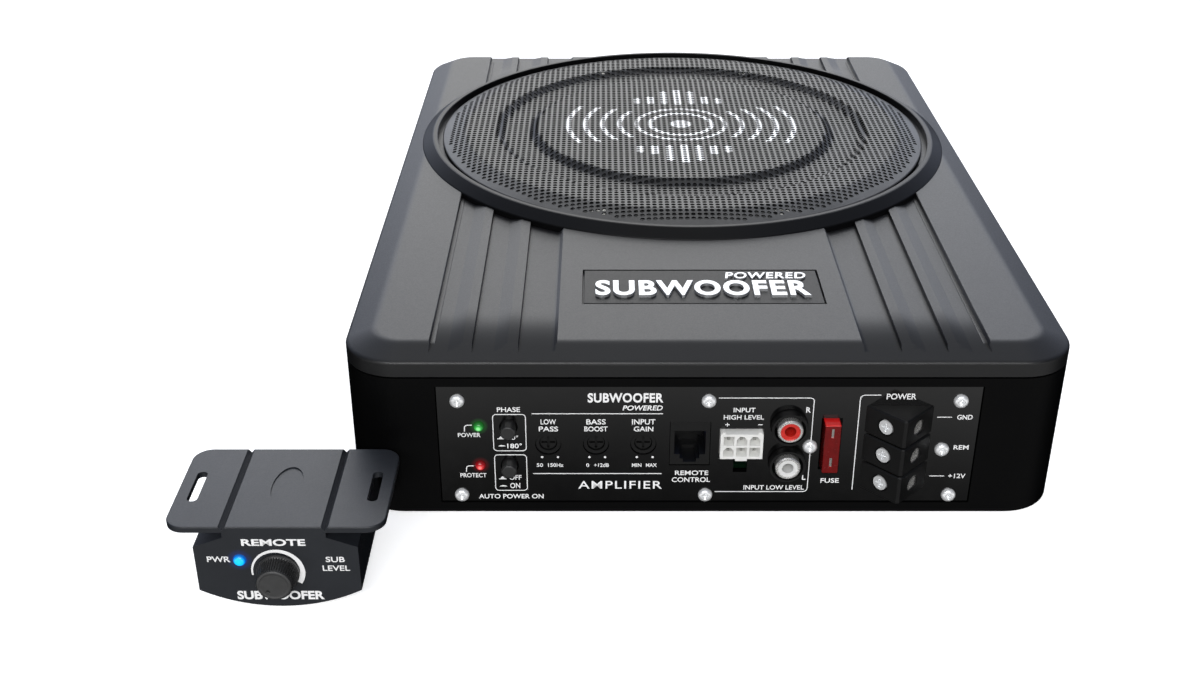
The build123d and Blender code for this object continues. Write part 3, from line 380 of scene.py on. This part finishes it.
class Ink:
    """Printed legends on a vertical face: local u is +X, local v is +Z, in mm. Everything ends in one mesh, a thin layer of ink."""

    def __init__(self, face_y, thick=0.07):
        self.bm = bmesh.new()
        self.y, self.t = face_y, thick

    def add(self, verts, faces):
        vs = [self.bm.verts.new(v) for v in verts]
        for f in faces:
            try:
                self.bm.faces.new([vs[i] for i in f])
            except ValueError:
                pass

    def polygon_strip(self, left, right, closed=False):
        """A ribbon between two rows of points, with thickness."""
        n = len(left)
        y0, y1 = self.y - self.t, self.y + 0.05
        verts = []
        for (a, b) in zip(left, right):
            verts += [(a[0], y0, a[1]), (b[0], y0, b[1]), (b[0], y1, b[1]), (a[0], y1, a[1])]
        faces = []
        for i in range(n if closed else n - 1):
            p, q = 4 * i, 4 * ((i + 1) % n)
            for k in range(4):
                faces.append((p + k, p + (k + 1) % 4, q + (k + 1) % 4, q + k))
        if not closed:
            faces += [(3, 2, 1, 0), (4 * n - 4, 4 * n - 3, 4 * n - 2, 4 * n - 1)]
        self.add(verts, faces)

    def line(self, points, width=0.32, closed=False, widths=None):
        pts = [Vector(p) for p in points]
        n = len(pts)
        left, right = [], []
        for i, p in enumerate(pts):
            a = pts[i - 1] if (i or closed) else None
            b = pts[(i + 1) % n] if (i < n - 1 or closed) else None
            d0 = (p - a).normalized() if a is not None else None
            d1 = (b - p).normalized() if b is not None else None
            d = (d0 + d1).normalized() if d0 is not None and d1 is not None else (d0 or d1)
            w = (widths[i] if widths else width) / 2
            if d0 is not None and d1 is not None:
                w /= max(0.5, math.sqrt(max(0.0, (1 + d0.dot(d1)) / 2)))
            nrm = Vector((-d.y, d.x))
            left.append(p + nrm * w)
            right.append(p - nrm * w)
        self.polygon_strip(left, right, closed)

    def rounded(self, x0, x1, z0, z1, r, width=0.32):
        pts = []
        for cx, cz, a0 in ((x1 - r, z1 - r, 0), (x0 + r, z1 - r, 90), (x0 + r, z0 + r, 180), (x1 - r, z0 + r, 270)):
            for k in range(7):
                a = radians(a0 + 90 * k / 6)
                pts.append((cx + r * cos(a), cz + r * sin(a)))
        self.line(pts, width, closed=True)

    def disc(self, x, z, r, n=20):
        y0, y1 = self.y - self.t, self.y + 0.05
        ring = [(x + r * cos(2 * pi * k / n), z + r * sin(2 * pi * k / n)) for k in range(n)]
        self.prism(ring)

    def prism(self, ring):
        y0, y1 = self.y - self.t, self.y + 0.05
        n = len(ring)
        verts = [(a, y0, b) for a, b in ring] + [(a, y1, b) for a, b in ring]
        faces = [tuple(range(n))[::-1], tuple(range(n, 2 * n))]
        faces += [(i, (i + 1) % n, n + (i + 1) % n, n + i) for i in range(n)]
        self.add(verts, faces)

    def text(self, body, x0, x1, z0, z1, bold=0.012, spacing=1.0, shear=0.0, wide=None):
        """Lettering fitted to that box."""
        verts, faces = letters(body, bold, spacing, shear)
        lo, hi = verts[:, :2].min(0), verts[:, :2].max(0)
        sx, sz = (x1 - x0) / (hi[0] - lo[0]), (z1 - z0) / (hi[1] - lo[1])
        out = []
        for v in verts:
            out.append((x0 + (v[0] - lo[0]) * sx, self.y + 0.05 if v[2] < 0 else self.y - self.t, z0 + (v[1] - lo[1]) * sz))
        self.add(out, faces)

    def finish(self, name, mat, body):
        bmesh.ops.recalc_face_normals(self.bm, faces=self.bm.faces)
        bmesh.ops.scale(self.bm, vec=(MM, MM, MM), verts=self.bm.verts)
        me = bpy.data.meshes.new(name)
        self.bm.to_mesh(me)
        self.bm.free()
        return link(name, me, mat, body)


def letters(body, bold=0.012, spacing=1.0, shear=0.0, extrude=0.05, bevel=0.0, resolution=4):
    """Vertices and faces of a line of lettering in the built-in font, one unit high, front at +z."""
    cu = bpy.data.curves.new("lettering", "FONT")
    cu.body, cu.size, cu.offset, cu.space_character, cu.shear = body, 1.0, bold, spacing, shear
    cu.extrude, cu.bevel_depth, cu.bevel_resolution, cu.resolution_u = extrude, bevel, 1, resolution
    ob = bpy.data.objects.new("lettering", cu)
    scene.collection.objects.link(ob)
    bpy.context.view_layer.update()
    me = bpy.data.meshes.new_from_object(ob.evaluated_get(bpy.context.evaluated_depsgraph_get()))
    verts = np.array([v.co for v in me.vertices], float).reshape(-1, 3)
    faces = [tuple(p.vertices) for p in me.polygons]
    bpy.data.objects.remove(ob)
    bpy.data.curves.remove(cu)
    bpy.data.meshes.remove(me)
    return verts, faces


# ------------------------------------------------------------ panel legends
PF = -158.4
ink = Ink(PF)
T = ink.text
T("PHASE", -69.4, -61.8, 39.5, 41.3)
ink.rounded(-70.9, -60.1, 24.4, 38.55, 1.2, 0.27)
ink.rounded(-70.8, -60.1, 8.5, 22.8, 1.2, 0.27)
T("POWER", -82.6, -75.1, 29.8, 31.4)
T("PROTECT", -82.5, -73.7, 13.8, 15.5)
T("AUTO POWER ON", -76.6, -54.7, 5.2, 7.0)
T("0°", -64.9, -62.7, 28.7, 30.4)
T("180°", -66.4, -61.5, 25.4, 27.3)
T("OFF", -66.1, -62.0, 12.8, 14.7)
T("ON", -65.9, -62.5, 9.4, 11.5)
for z_up, z_down in ((29.15, 26.15), (13.2, 10.1)):
    ink.prism([(-69.2, z_up), (-67.5, z_up), (-68.0, z_up + 0.75), (-68.35, z_up + 1.0), (-68.7, z_up + 0.75)])
    ink.line([(-69.6, z_up - 0.05), (-67.1, z_up - 0.05)], 0.3)
    ink.prism([(-69.5, z_down), (-66.9, z_down), (-67.4, z_down + 0.35), (-68.2, z_down + 0.5), (-69.0, z_down + 0.35)])
for z in (34.4, 18.4):
    ink.line([(-77.8, z), (-79.4, z), (-80.0, z - 0.2), (-80.3, z - 0.65), (-80.4, z - 2.4)], 0.3)
ink.line([(-58.0, 38.85), (-14.9, 38.85)], 0.28)
ink.line([(-58.0, 15.3), (-14.9, 15.3)], 0.28)
for x, a, b in ((-52.6, "LOW", "PASS"), (-36.9, "BASS", "BOOST"), (-21.2, "INPUT", "GAIN")):
    wa, wb = 1.30 * len(a), 1.30 * len(b)
    T(a, x - wa / 2 - 0.6, x + wa / 2 + 0.6, 34.7, 36.7)
    T(b, x - wb / 2 - 0.6, x + wb / 2 + 0.6, 32.0, 33.9)
for x in (-54.9, -49.6, -39.1, -33.9, -23.3, -18.0):
    ink.disc(x, 21.9, 0.40)
for s, x, w in (("50", -55.7, 2.1), ("150Hz", -50.4, 5.1), ("0", -39.7, 1.0), ("+12dB", -35.1, 5.0), ("MIN", -23.3, 3.2), ("MAX", -18.4, 3.6)):
    T(s, x - w / 2, x + w / 2, 18.0, 19.4)
T("SUBWOOFER", -39.6, -14.9, 43.1, 46.7, bold=0.03, spacing=1.08)
T("POWERED", -28.2, -15.0, 40.1, 42.0, bold=0.016, shear=0.2)
T("AMPLIFIER", -42.9, -14.7, 9.2, 12.3, bold=0.006, spacing=1.14)
T("REMOTE", -10.4, 0.8, 14.7, 16.5)
T("CONTROL", -11.4, 1.5, 11.9, 13.8)
ink.line([(3.2, 44.85), (33.2, 44.85), (33.9, 44.65), (34.3, 44.2), (34.4, 43.5), (34.4, 28.2)], 0.27)
ink.line([(34.4, 24.2), (34.4, 9.7), (34.3, 8.8), (33.9, 8.3), (33.2, 8.0), (3.2, 8.0)], 0.27)
T("INPUT", 8.2, 15.4, 39.4, 41.1)
T("HIGH LEVEL", 5.1, 18.3, 36.6, 38.3)
ink.line([(5.7, 34.6), (7.1, 34.6)], 0.28)
ink.line([(6.4, 33.95), (6.4, 35.25)], 0.28)
ink.line([(16.6, 34.6), (18.0, 34.6)], 0.28)
T("R", 32.0, 33.5, 39.3, 41.3, bold=0.02)
T("L", 32.4, 33.6, 12.8, 14.7, bold=0.02)
T("INPUT LOW LEVEL", 12.9, 33.3, 8.8, 10.6)
T("FUSE", 38.7, 44.9, 11.6, 13.4)
ink.line([(56.1, 45.95), (50.9, 45.95), (50.0, 45.7), (49.5, 45.1), (49.4, 44.2), (49.6, 8.8)], 0.28)
T("POWER", 57.9, 67.6, 44.3, 46.5)
for z, x0, x1, s in ((37.5, 81.8, 86.9, "GND"), (14.35, 81.5, 87.3, "+12V")):
    ink.line([(75.2, z), (80.1, z)], 0.27)
    T(s, x0, x1, z - 0.9, z + 0.9)
T("REM", 82.0, 87.0, 24.9, 26.6)
legends = ink.finish("panel_legends", M["white_ink_painted_glow"], "enclosure")

# ------------------------------------------------------- legends, remote face
RX, RF, KNOB_Z = -133.9, -208.9, 13.3
ink = Ink(RF)
ink.text("PWR", -155.1, -148.1, 16.9, 19.0)
ink.text("SUB", -119.0, -113.2, 16.9, 18.9)
ink.text("LEVEL", -120.2, -111.9, 13.6, 15.6)
ink.text("REMOTE", -144.0, -124.6, 23.0, 25.5, bold=0.028)
ink.text("SUBWOOFER", -147.5, -120.6, 2.6, 5.9, bold=0.035)
arc, arc_w = [], []
for k in range(41):
    t = k / 40
    a = radians(189 - t * (189 + 34))
    w = 0.55 + 1.25 * t ** 1.2
    r = 8.0 - w / 2 + 0.25
    arc.append((RX + r * cos(a), KNOB_Z + r * sin(a)))
    arc_w.append(w)
ink.line(arc, widths=arc_w)
remote_legends = ink.finish("remote_legends", M["white_ink_painted_glow"], "remote")

# ------------------------------------------------------------- badge letters


def badge_word(bm, body, x0, x1, y0, y1, z0, z1, bold, shear=0.0, bevel=0.018, spacing=1.0):
    verts, faces = letters(body, bold, spacing, shear, extrude=0.1, bevel=bevel, resolution=6)
    lo, hi = verts.min(0), verts.max(0)
    s = [(b - a) / (h - l) for a, b, l, h in zip((x0, y0, z0), (x1, y1, z1), lo, hi)]
    vs = [bm.verts.new((x0 + (v[0] - lo[0]) * s[0], y0 + (v[1] - lo[1]) * s[1], z0 + (v[2] - lo[2]) * s[2])) for v in verts]
    for f in faces:
        try:
            bm.faces.new([vs[i] for i in f])
        except ValueError:
            pass


bm = bmesh.new()
badge_word(bm, "SUBWOOFER", -37.2, 37.2, -120.6, -108.8, 62.30, 63.35, 0.026, spacing=1.12, bevel=0.012)
badge_word(bm, "POWERED", 8.4, 37.0, -106.8, -101.8, 62.30, 63.0, 0.016, shear=0.15, spacing=1.1, bevel=0.010)
bmesh.ops.recalc_face_normals(bm, faces=bm.faces)
bmesh.ops.scale(bm, vec=(MM, MM, MM), verts=bm.verts)
me = bpy.data.meshes.new("badge_letters")
bm.to_mesh(me)
bm.free()
link("badge_letters", me, M["silver_letters"], "enclosure")

# ------------------------------------------------------------------- grille
RY = 39.6
PITCH, HOLE_R, HOLE_LIMIT, GAUGE = 2.43, 0.93, 103.0, 0.5
PROFILE = [(0, 66.95), (62.7, 66.95), (63.3, 66.85), (64.0, 66.3), (65.3, 65.2), (66.0, 64.75), (66.9, 64.6), (77.1, 64.6), (78.0, 64.75), (78.7, 65.2),
           (80.0, 66.3), (80.7, 66.85), (81.3, 66.95), (93.6, 66.95), (94.6, 66.85), (96.0, 66.5), (102.2, 64.9), (103.0, 64.7), (103.6, 64.5), (104.2, 64.4)]
PR, PZ = np.array(PROFILE).T


def sheet_z(x, y):
    return np.interp(np.hypot(x, y), PR, PZ)


def emblem(x, y):
    """How much silver is on the sheet at (x, y) in mm from its centre: a generic sound-wave mark."""
    r, a = np.hypot(x, y), np.degrees(np.arctan2(y, x))
    out = np.zeros_like(r)
    # the driver: two rings and a dot
    out = np.maximum(out, np.clip(1.5 - np.abs(r - 13.5), 0, 1))
    out = np.maximum(out, np.clip(1.3 - np.abs(r - 19.5), 0, 1))
    out = np.maximum(out, np.clip(5.0 - r, 0, 1))
    # waves to both sides
    aside = np.minimum(np.abs(a), 180 - np.abs(a))
    for k, (radius, half) in enumerate(((27, 38), (34.5, 36), (42, 33), (49.5, 29))):
        out = np.maximum(out, np.clip(1.45 - np.abs(r - radius), 0, 1) * np.clip((half - aside) / 2, 0, 1))
    # level bars above and below
    for k in range(-4, 5):
        h0, h1 = 25 + abs(k) * 0.6, 46 - 4.6 * abs(k) + (3 if k % 2 else 0)
        inside = np.clip(1.9 - np.abs(x - k * 6.2), 0, 1) * np.clip((np.abs(y) - h0) / 1.0, 0, 1) * np.clip((h1 - np.abs(y)) / 1.0, 0, 1)
        out = np.maximum(out, inside)
    return out


def perforated():
    n = int(HOLE_LIMIT / PITCH) + 2
    verts, faces, corner = [], [], {}

    def vert(x, y, lower):
        z = float(sheet_z(np.array(x), np.array(y))) - (GAUGE if lower else 0.0)
        verts.append((x, y, z))
        return len(verts) - 1

    cells = [(i, j) for i in range(-n, n + 1) for j in range(-n, n + 1)
             if math.hypot(abs(i) * PITCH + PITCH / 2, abs(j) * PITCH + PITCH / 2) < HOLE_LIMIT]
    have = set(cells)
    for i, j in cells:
        cx, cy = i * PITCH, j * PITCH
        rings = []
        for lower in (False, True):
            cs = []
            for di, dj in ((1, 0), (1, 1), (0, 1), (0, 0)):
                key = (i + di, j + dj, lower)
                if key not in corner:
                    corner[key] = vert((i + di - 0.5) * PITCH, (j + dj - 0.5) * PITCH, lower)
                cs.append(corner[key])
            hole = [vert(cx + HOLE_R * cos(radians(45 * k - 45)), cy + HOLE_R * sin(radians(45 * k - 45)), lower) for k in range(8)]
            for q in range(4):
                c0, c1 = cs[q], cs[(q + 1) % 4]
                h = [hole[(2 * q + s) % 8] for s in range(3)]
                f = (c0, c1, h[2], h[1], h[0])
                faces.append(f[::-1] if lower else f)
            rings.append(hole)
        for k in range(8):
            a, b = rings[0][k], rings[0][(k + 1) % 8]
            c, d = rings[1][(k + 1) % 8], rings[1][k]
            faces.append((a, b, c, d))
    # plain margin between the perforated field and the rim
    loop_of = {}
    for i, j in cells:
        for (a, b, other) in (((0, 0), (1, 0), (i, j - 1)), ((1, 0), (1, 1), (i + 1, j)), ((1, 1), (0, 1), (i, j + 1)), ((0, 1), (0, 0), (i - 1, j))):
            if other not in have:
                loop_of[(i + a[0], j + a[1])] = (i + b[0], j + b[1])
    start = next(iter(loop_of))
    loop, cur = [start], loop_of[start]
    while cur != start:
        loop.append(cur)
        cur = loop_of[cur]
    seg = 240
    radii = [103.3]
    pts = [Vector(((i - 0.5) * PITCH, (j - 0.5) * PITCH)) for i, j in loop]
    first = len(pts)
    pts += [Vector((radii[0] * cos(2 * pi * k / seg), radii[0] * sin(2 * pi * k / seg))) for k in range(seg)]
    edges = [(k, (k + 1) % first) for k in range(first)] + [(first + k, first + (k + 1) % seg) for k in range(seg)]
    got, _, tris, *_ = delaunay_2d_cdt(pts, edges, [], 1, 1e-4)
    top = [corner[(i, j, False)] for i, j in loop]
    low = [corner[(i, j, True)] for i, j in loop]
    rim = {}
    for lower in (False, True):
        base = top if lower is False else low
        rim[lower] = [vert(p[0], p[1], lower) for p in pts[first:]]
        index = base + rim[lower]
        for t in tris:
            c = sum((Vector(got[k]) for k in t), Vector((0, 0))) / len(t)
            i, j = round(c.x / PITCH), round(c.y / PITCH)
            if (i, j) in have or c.length > radii[0]:
                continue
            f = tuple(index[k] for k in t)
            faces.append(f[::-1] if lower else f)
    # rim flat, rounded edge and skirt, as rings of (radius, z)
    outer = [(103.7, 64.5), (104.0, 64.4), (104.28, 64.2), (104.4, 63.95), (104.4, 62.2), (103.9, 62.2), (103.9, 63.7), (103.6, 63.95)]
    last = rim[False]
    for r, z in outer:
        ring = []
        for k in range(seg):
            verts.append((r * cos(2 * pi * k / seg), r * sin(2 * pi * k / seg), z))
            ring.append(len(verts) - 1)
        for k in range(seg):
            faces.append((last[k], ring[k], ring[(k + 1) % seg], last[(k + 1) % seg]))
        last = ring
    for k in range(seg):
        faces.append((last[k], rim[True][k], rim[True][(k + 1) % seg], last[(k + 1) % seg]))
    return np.array(verts), faces


gv, gf = perforated()
paint = emblem(gv[:, 0], gv[:, 1])
gv = gv + np.array([0, RY, 0])
me = mesh_of("grille_sheet", gv * MM, gf)
# faces that don't point up (hole walls, underside, skirt) get a near-black copy of the sheet's paint: painted shade in
# the holes
me.materials.append(None)
me.materials.append(M["hole_painted_shade"])
normals = np.zeros(len(me.polygons) * 3)
me.polygons.foreach_get("normal", normals)
me.polygons.foreach_set("material_index", (normals.reshape(-1, 3)[:, 2] < 0.35).astype(np.int32))
at = me.attributes.new("emblem", "FLOAT", "POINT")
at.data.foreach_set("value", paint.astype(np.float32))

gm = material("grille_paint", grey(0.034), grey(0.052), 0.38, metal=0.45, spec=0.32, grain=0.3, height=0.006, strength=0.5, rough_var=0.06, blotch=18)
nt = gm.node_tree
p = nt.nodes["Principled BSDF"]
base = p.inputs["Base Color"].links[0].from_socket
mark = nt.nodes.new("ShaderNodeAttribute")
mark.attribute_name = "emblem"
mix = nt.nodes.new("ShaderNodeMix")
mix.data_type = "RGBA"
mix.inputs[7].default_value = (0.62, 0.63, 0.65, 1)
nt.links.new(spread(nt, mark.outputs["Fac"], 0.0, 1.0, 0.25, 0.6), mix.inputs[0])
nt.links.new(base, mix.inputs[6])
nt.links.new(mix.outputs[2], p.inputs["Base Color"])
M["grille_paint"] = gm
me.materials[0] = gm
grille = link("grille_sheet", me, None, "enclosure")
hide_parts("grille")

# ---------------------------------------------------------------- top cover
# The cover's outside: a bevelled plateau with stepped grooves whose floors roll over towards the bevel near the front and the back, so
# that each groove's step thins out to nothing part of the way down the bevel.
EDGE = [(0.0, 53.05, 9.0), (0.0, 57.45, 9.0), (0.02, 57.95, 2.2), (0.065, 58.38, 0.9), (0.13, 58.85, 0.554), (0.30, 59.53, 0.554), (0.46, 60.19, 0.554),
        (0.60, 60.76, 0.554), (0.74, 61.33, 0.554), (0.86, 61.82, 0.52), (0.95, 62.14, 0.38), (1.03, 62.31, 0.20), (1.12, 62.39, 0.06), (1.20, 62.4, 0.0)]
STEP = [(49.2, 62.4), (49.45, 62.33), (49.6, 62.1), (50.6, 60.6), (51.1, 60.32), (51.6, 60.2), (62.0, 60.2), (62.1, 61.7), (62.2, 61.87), (62.4, 61.9),
        (65.6, 61.9), (67.6, 61.1), (70.0, 60.2), (77.0, 60.2), (77.1, 61.7), (77.2, 61.87), (77.4, 61.9), (80.3, 61.9), (82.6, 61.1), (85.0, 60.2),
        (91.0, 60.2), (91.1, 62.15), (91.25, 62.35), (91.5, 62.4)]
X_SIDE = 98.0


def cover_mesh():
    verts, faces, normals = [], [], []

    def quad(points, ns):
        base = len(verts)
        verts.extend(points)
        faces.append(tuple(range(base, base + len(points))))
        normals.extend(ns)

    half = [x for x in np.arange(0.0, 41.0, 4.0)] + [41.65, 41.75, 45.5] + [x for x, _ in STEP] + [94.5, X_SIDE]
    half_z = {round(x, 3): z for x, z in STEP}
    xs = [-x for x in half[::-1]] + half[1:]
    step_x, step_z = np.array([x for x, _ in STEP]), np.array([z for _, z in STEP])

    def groove(x):
        return float(np.interp(abs(x), step_x, step_z, left=62.4, right=62.4))

    rows = [(159 - 7.4 * q, z, s) for q, z, s in EDGE]
    inner = [y for y in np.arange(147.0, 0.0, -3.5)]
    front = [(y, z, s) for y, z, s in rows] + [(y, 62.4, 0.0) for y in inner] + [(0.0, 62.4, 0.0)]
    ys = [(-y, z, s) for y, z, s in front] + [(y, z, s) for y, z, s in front[::-1][1:]]
    ys += [(y, 62.4, 0.0) for y in (-125.45, -125.35, -98.65, -98.55)]
    ys.sort(key=lambda v: (v[0], v[1] if v[0] < 0 else -v[1]))

    def height(x, y, bevel):
        z = min(groove(x), bevel)
        if abs(x) < 41.7 and -125.4 < y < -98.6:
            z = 61.0
        return z

    def slope_y(x, y, s, on_bevel):
        if on_bevel or not 49.5 < abs(x) < 91.2:
            return s
        t = min(max((abs(y) - 126.0) / 28.0, 0.0), 1.0)
        return max(s, 0.554 * t * t * (3 - 2 * t))

    for i in range(len(xs) - 1):
        x0, x1 = xs[i], xs[i + 1]
        run = (groove(x1) - groove(x0)) / (x1 - x0)
        xm = (x0 + x1) / 2
        # long ramps catch the side light only faintly, and the outermost step is rounded over
        lean = run * (0.4 if abs(run) < 1.6 else 0.1 if abs(xm) > 90.9 else 1.0)
        for j in range(len(ys) - 1):
            (y0, b0, s0), (y1, b1, s1) = ys[j], ys[j + 1]
            if max(math.hypot(x, y - RY) for x in (x0, x1) for y in (y0, y1)) < 112.6:
                continue
            pts, ns = [], []
            for x, y, b, s in ((x0, y0, b0, s0), (x1, y0, b0, s0), (x1, y1, b1, s1), (x0, y1, b1, s1)):
                pts.append((x, y, height(x, y, b)))
                under = b <= groove(x) + 0.02
                sy = slope_y(xm, y, s, under and s > 0)
                if under and s > 4:
                    ns.append((0.0, math.copysign(1.0, y), 0.0))
                    continue
                n = Vector((0.0 if under and s > 0 else -lean, math.copysign(sy, y) if sy else 0.0, 1.0)).normalized()
                ns.append(tuple(n))
            if abs(xm) < 41.76 and (abs(x1 - x0) < 0.2 or abs(y1 - y0) < 0.2):
                n = (Vector(pts[1]) - Vector(pts[0])).cross(Vector(pts[3]) - Vector(pts[0]))
                if n.length > 1e-9 and max(p[2] for p in pts) - min(p[2] for p in pts) > 0.2:
                    ns = [tuple(n.normalized())] * 4
            quad(pts, ns)

    # sides and corners: one cross-section swept along the edge, from the front round to the back
    def sweep(side):
        path = [((X_SIDE, -159.0), (X_SIDE, -151.6), (0.0, -1.0))]
        for k in range(13):
            a = radians(-90 + 90 * k / 12)
            path.append(((102 + 18 * cos(a), -141 + 18 * sin(a)), (100.2 + 10 * cos(a), -141.6 + 10 * sin(a)), (cos(a), sin(a))))
        for y in np.arange(-128.0, 141.0, 12.0):
            path.append(((120.0, y), (110.2, y), (1.0, 0.0)))
        path += [((o[0], -o[1]), (i[0], -i[1]), (e[0], -e[1])) for o, i, e in path[13::-1]]
        out = []
        for o, i, e in path:
            o, i, e = Vector(o), Vector(i), Vector(e)
            out.append([(o + (i - o) * q, z, e, (s if s > 4 else s * 7.4 / max((i - o).length, 1.0))) for q, z, s in EDGE])
        for a, b in zip(out, out[1:]):
            for k in range(len(EDGE) - 1):
                pts, ns = [], []
                for p, z, e, s in (a[k], b[k], b[k + 1], a[k + 1]):
                    pts.append((side * p.x, p.y, z))
                    ns.append(tuple(Vector((side * e.x * s, e.y * s, 1.0)).normalized() if s < 4 else Vector((side * e.x, e.y, 0.0))))
                quad(pts if side > 0 else pts[::-1], ns if side > 0 else ns[::-1])
            p, q = a[-1][0], b[-1][0]
            pts = [(side * p.x, p.y, 62.4), (side * q.x, q.y, 62.4), (side * X_SIDE, q.y, 62.4), (side * X_SIDE, p.y, 62.4)]
            quad(pts if side > 0 else pts[::-1], [(0, 0, 1)] * 4)

    sweep(1)
    sweep(-1)
    # weld, keeping each corner's own normal
    index, new_verts, remap = {}, [], []
    for v in verts:
        key = (round(v[0], 3), round(v[1], 3), round(v[2], 3))
        if key not in index:
            index[key] = len(new_verts)
            new_verts.append(key)
        remap.append(index[key])
    new_faces, new_normals = [], []
    for f in faces:
        g = [remap[k] for k in f]
        keep = [k for k in range(len(g)) if g[k] != g[k - 1]]
        if len(keep) < 3 or len({g[k] for k in keep}) < 3:
            continue
        new_faces.append(tuple(g[k] for k in keep))
        new_normals += [normals[f[k]] for k in keep]
    # underside, and a rim wherever the outside ends
    count = len(new_verts)
    under = [(x * 0.982, y * 0.986, max(53.05, z - 2.0)) for x, y, z in new_verts]
    edges = {}
    for f in new_faces:
        for a, b in zip(f, f[1:] + f[:1]):
            edges[(a, b)] = edges.get((a, b), 0) + 1
    lower = [tuple(k + count for k in f[::-1]) for f in new_faces]
    rim = [(b, a, a + count, b + count) for a, b in edges if (b, a) not in edges]
    return new_verts + under, new_faces + lower + rim, new_normals


cv, cf, cn = cover_mesh()
me = bpy.data.meshes.new("cover_shell")
me.from_pydata([(x * MM, y * MM, z * MM) for x, y, z in cv], [], cf)
me.update()
flat = np.zeros(len(me.polygons) * 3)
me.polygons.foreach_get("normal", flat)
flat = flat.reshape(-1, 3)
loops = np.zeros((len(me.loops), 3))
loops[:len(cn)] = np.array(cn)
k = len(cn)
for poly in me.polygons:
    if poly.loop_start >= len(cn):
        loops[poly.loop_start:poly.loop_start + poly.loop_total] = flat[poly.index]
me.shade_smooth()
me.normals_split_custom_set([tuple(v) for v in loops])
cover = link("cover_shell", me, M["cover_plastic"], "enclosure")
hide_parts("top_cover")

# -------------------------------------------------------------- remote knob


def fluted_knob():
    """Knob of the remote: fine flutes on a tapered side, rounded rim, flat face with a pointer dimple."""
    seg = 192
    rings = [(6.6, -0.3, 0), (6.6, -1.35, 0), (6.45, -1.5, 0), (6.25, -1.75, 1), (5.55, -6.2, 1), (5.48, -6.55, 0.3), (5.25, -6.95, 0), (4.95, -7.15, 0), (4.6, -7.2, 0), (4.3, -7.05, 0),
             (4.0, -7.0, 0)]
    verts, faces = [], []
    for r, y, flute in rings:
        for k in range(seg):
            a = 2 * pi * k / seg
            rr = r + flute * 0.16 * (1 if (k // 2) % 2 else -1)
            verts.append((RX + rr * cos(a), RF + y, KNOB_Z + rr * sin(a)))
    for i in range(len(rings) - 1):
        for k in range(seg):
            a, b = i * seg + k, i * seg + (k + 1) % seg
            faces.append((a, b, b + seg, a + seg))
    # face as concentric rings with a pressed dimple
    dx, dz = -2.5 + 0.3, -3.6 + 1.0
    last = (len(rings) - 1) * seg
    for r in (3.3, 2.6, 1.9, 1.2, 0.5):
        first = len(verts)
        for k in range(seg):
            a = 2 * pi * k / seg
            x, z = r * cos(a), r * sin(a)
            d = math.hypot(x - dx, z - dz)
            verts.append((RX + x, RF - 7.0 + 0.35 * max(0.0, 1 - (d / 0.9) ** 2), KNOB_Z + z))
        for k in range(seg):
            faces.append((last + k, last + (k + 1) % seg, first + (k + 1) % seg, first + k))
        last = first
    verts.append((RX, RF - 7.0, KNOB_Z))
    for k in range(seg):
        faces.append((last + k, last + (k + 1) % seg, len(verts) - 1))
    # shaft into the potentiometer, closed at the back
    back = 0
    for r, y in ((2.95, -0.3), (2.95, 11.5)):
        first = len(verts)
        for k in range(seg):
            a = 2 * pi * k / seg
            verts.append((RX + r * cos(a), RF + y, KNOB_Z + r * sin(a)))
        for k in range(seg):
            faces.append((back + (k + 1) % seg, back + k, first + k, first + (k + 1) % seg))
        back = first
    verts.append((RX, RF + 11.5, KNOB_Z))
    for k in range(seg):
        faces.append((back + (k + 1) % seg, back + k, len(verts) - 1))
    me = mesh_of("level_knob", np.array(verts) * MM, faces)
    me.materials.append(M["knob_plastic"])
    me.materials.append(M["knob_face"])
    for poly in me.polygons:
        c = poly.center / MM
        if c.y < RF - 6.9 and math.hypot(c.x - RX, c.z - KNOB_Z) < 5.3:
            poly.material_index = 1
    return me


knob = link("level_knob", fluted_knob(), None, "remote_knob")
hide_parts("remote_knob")
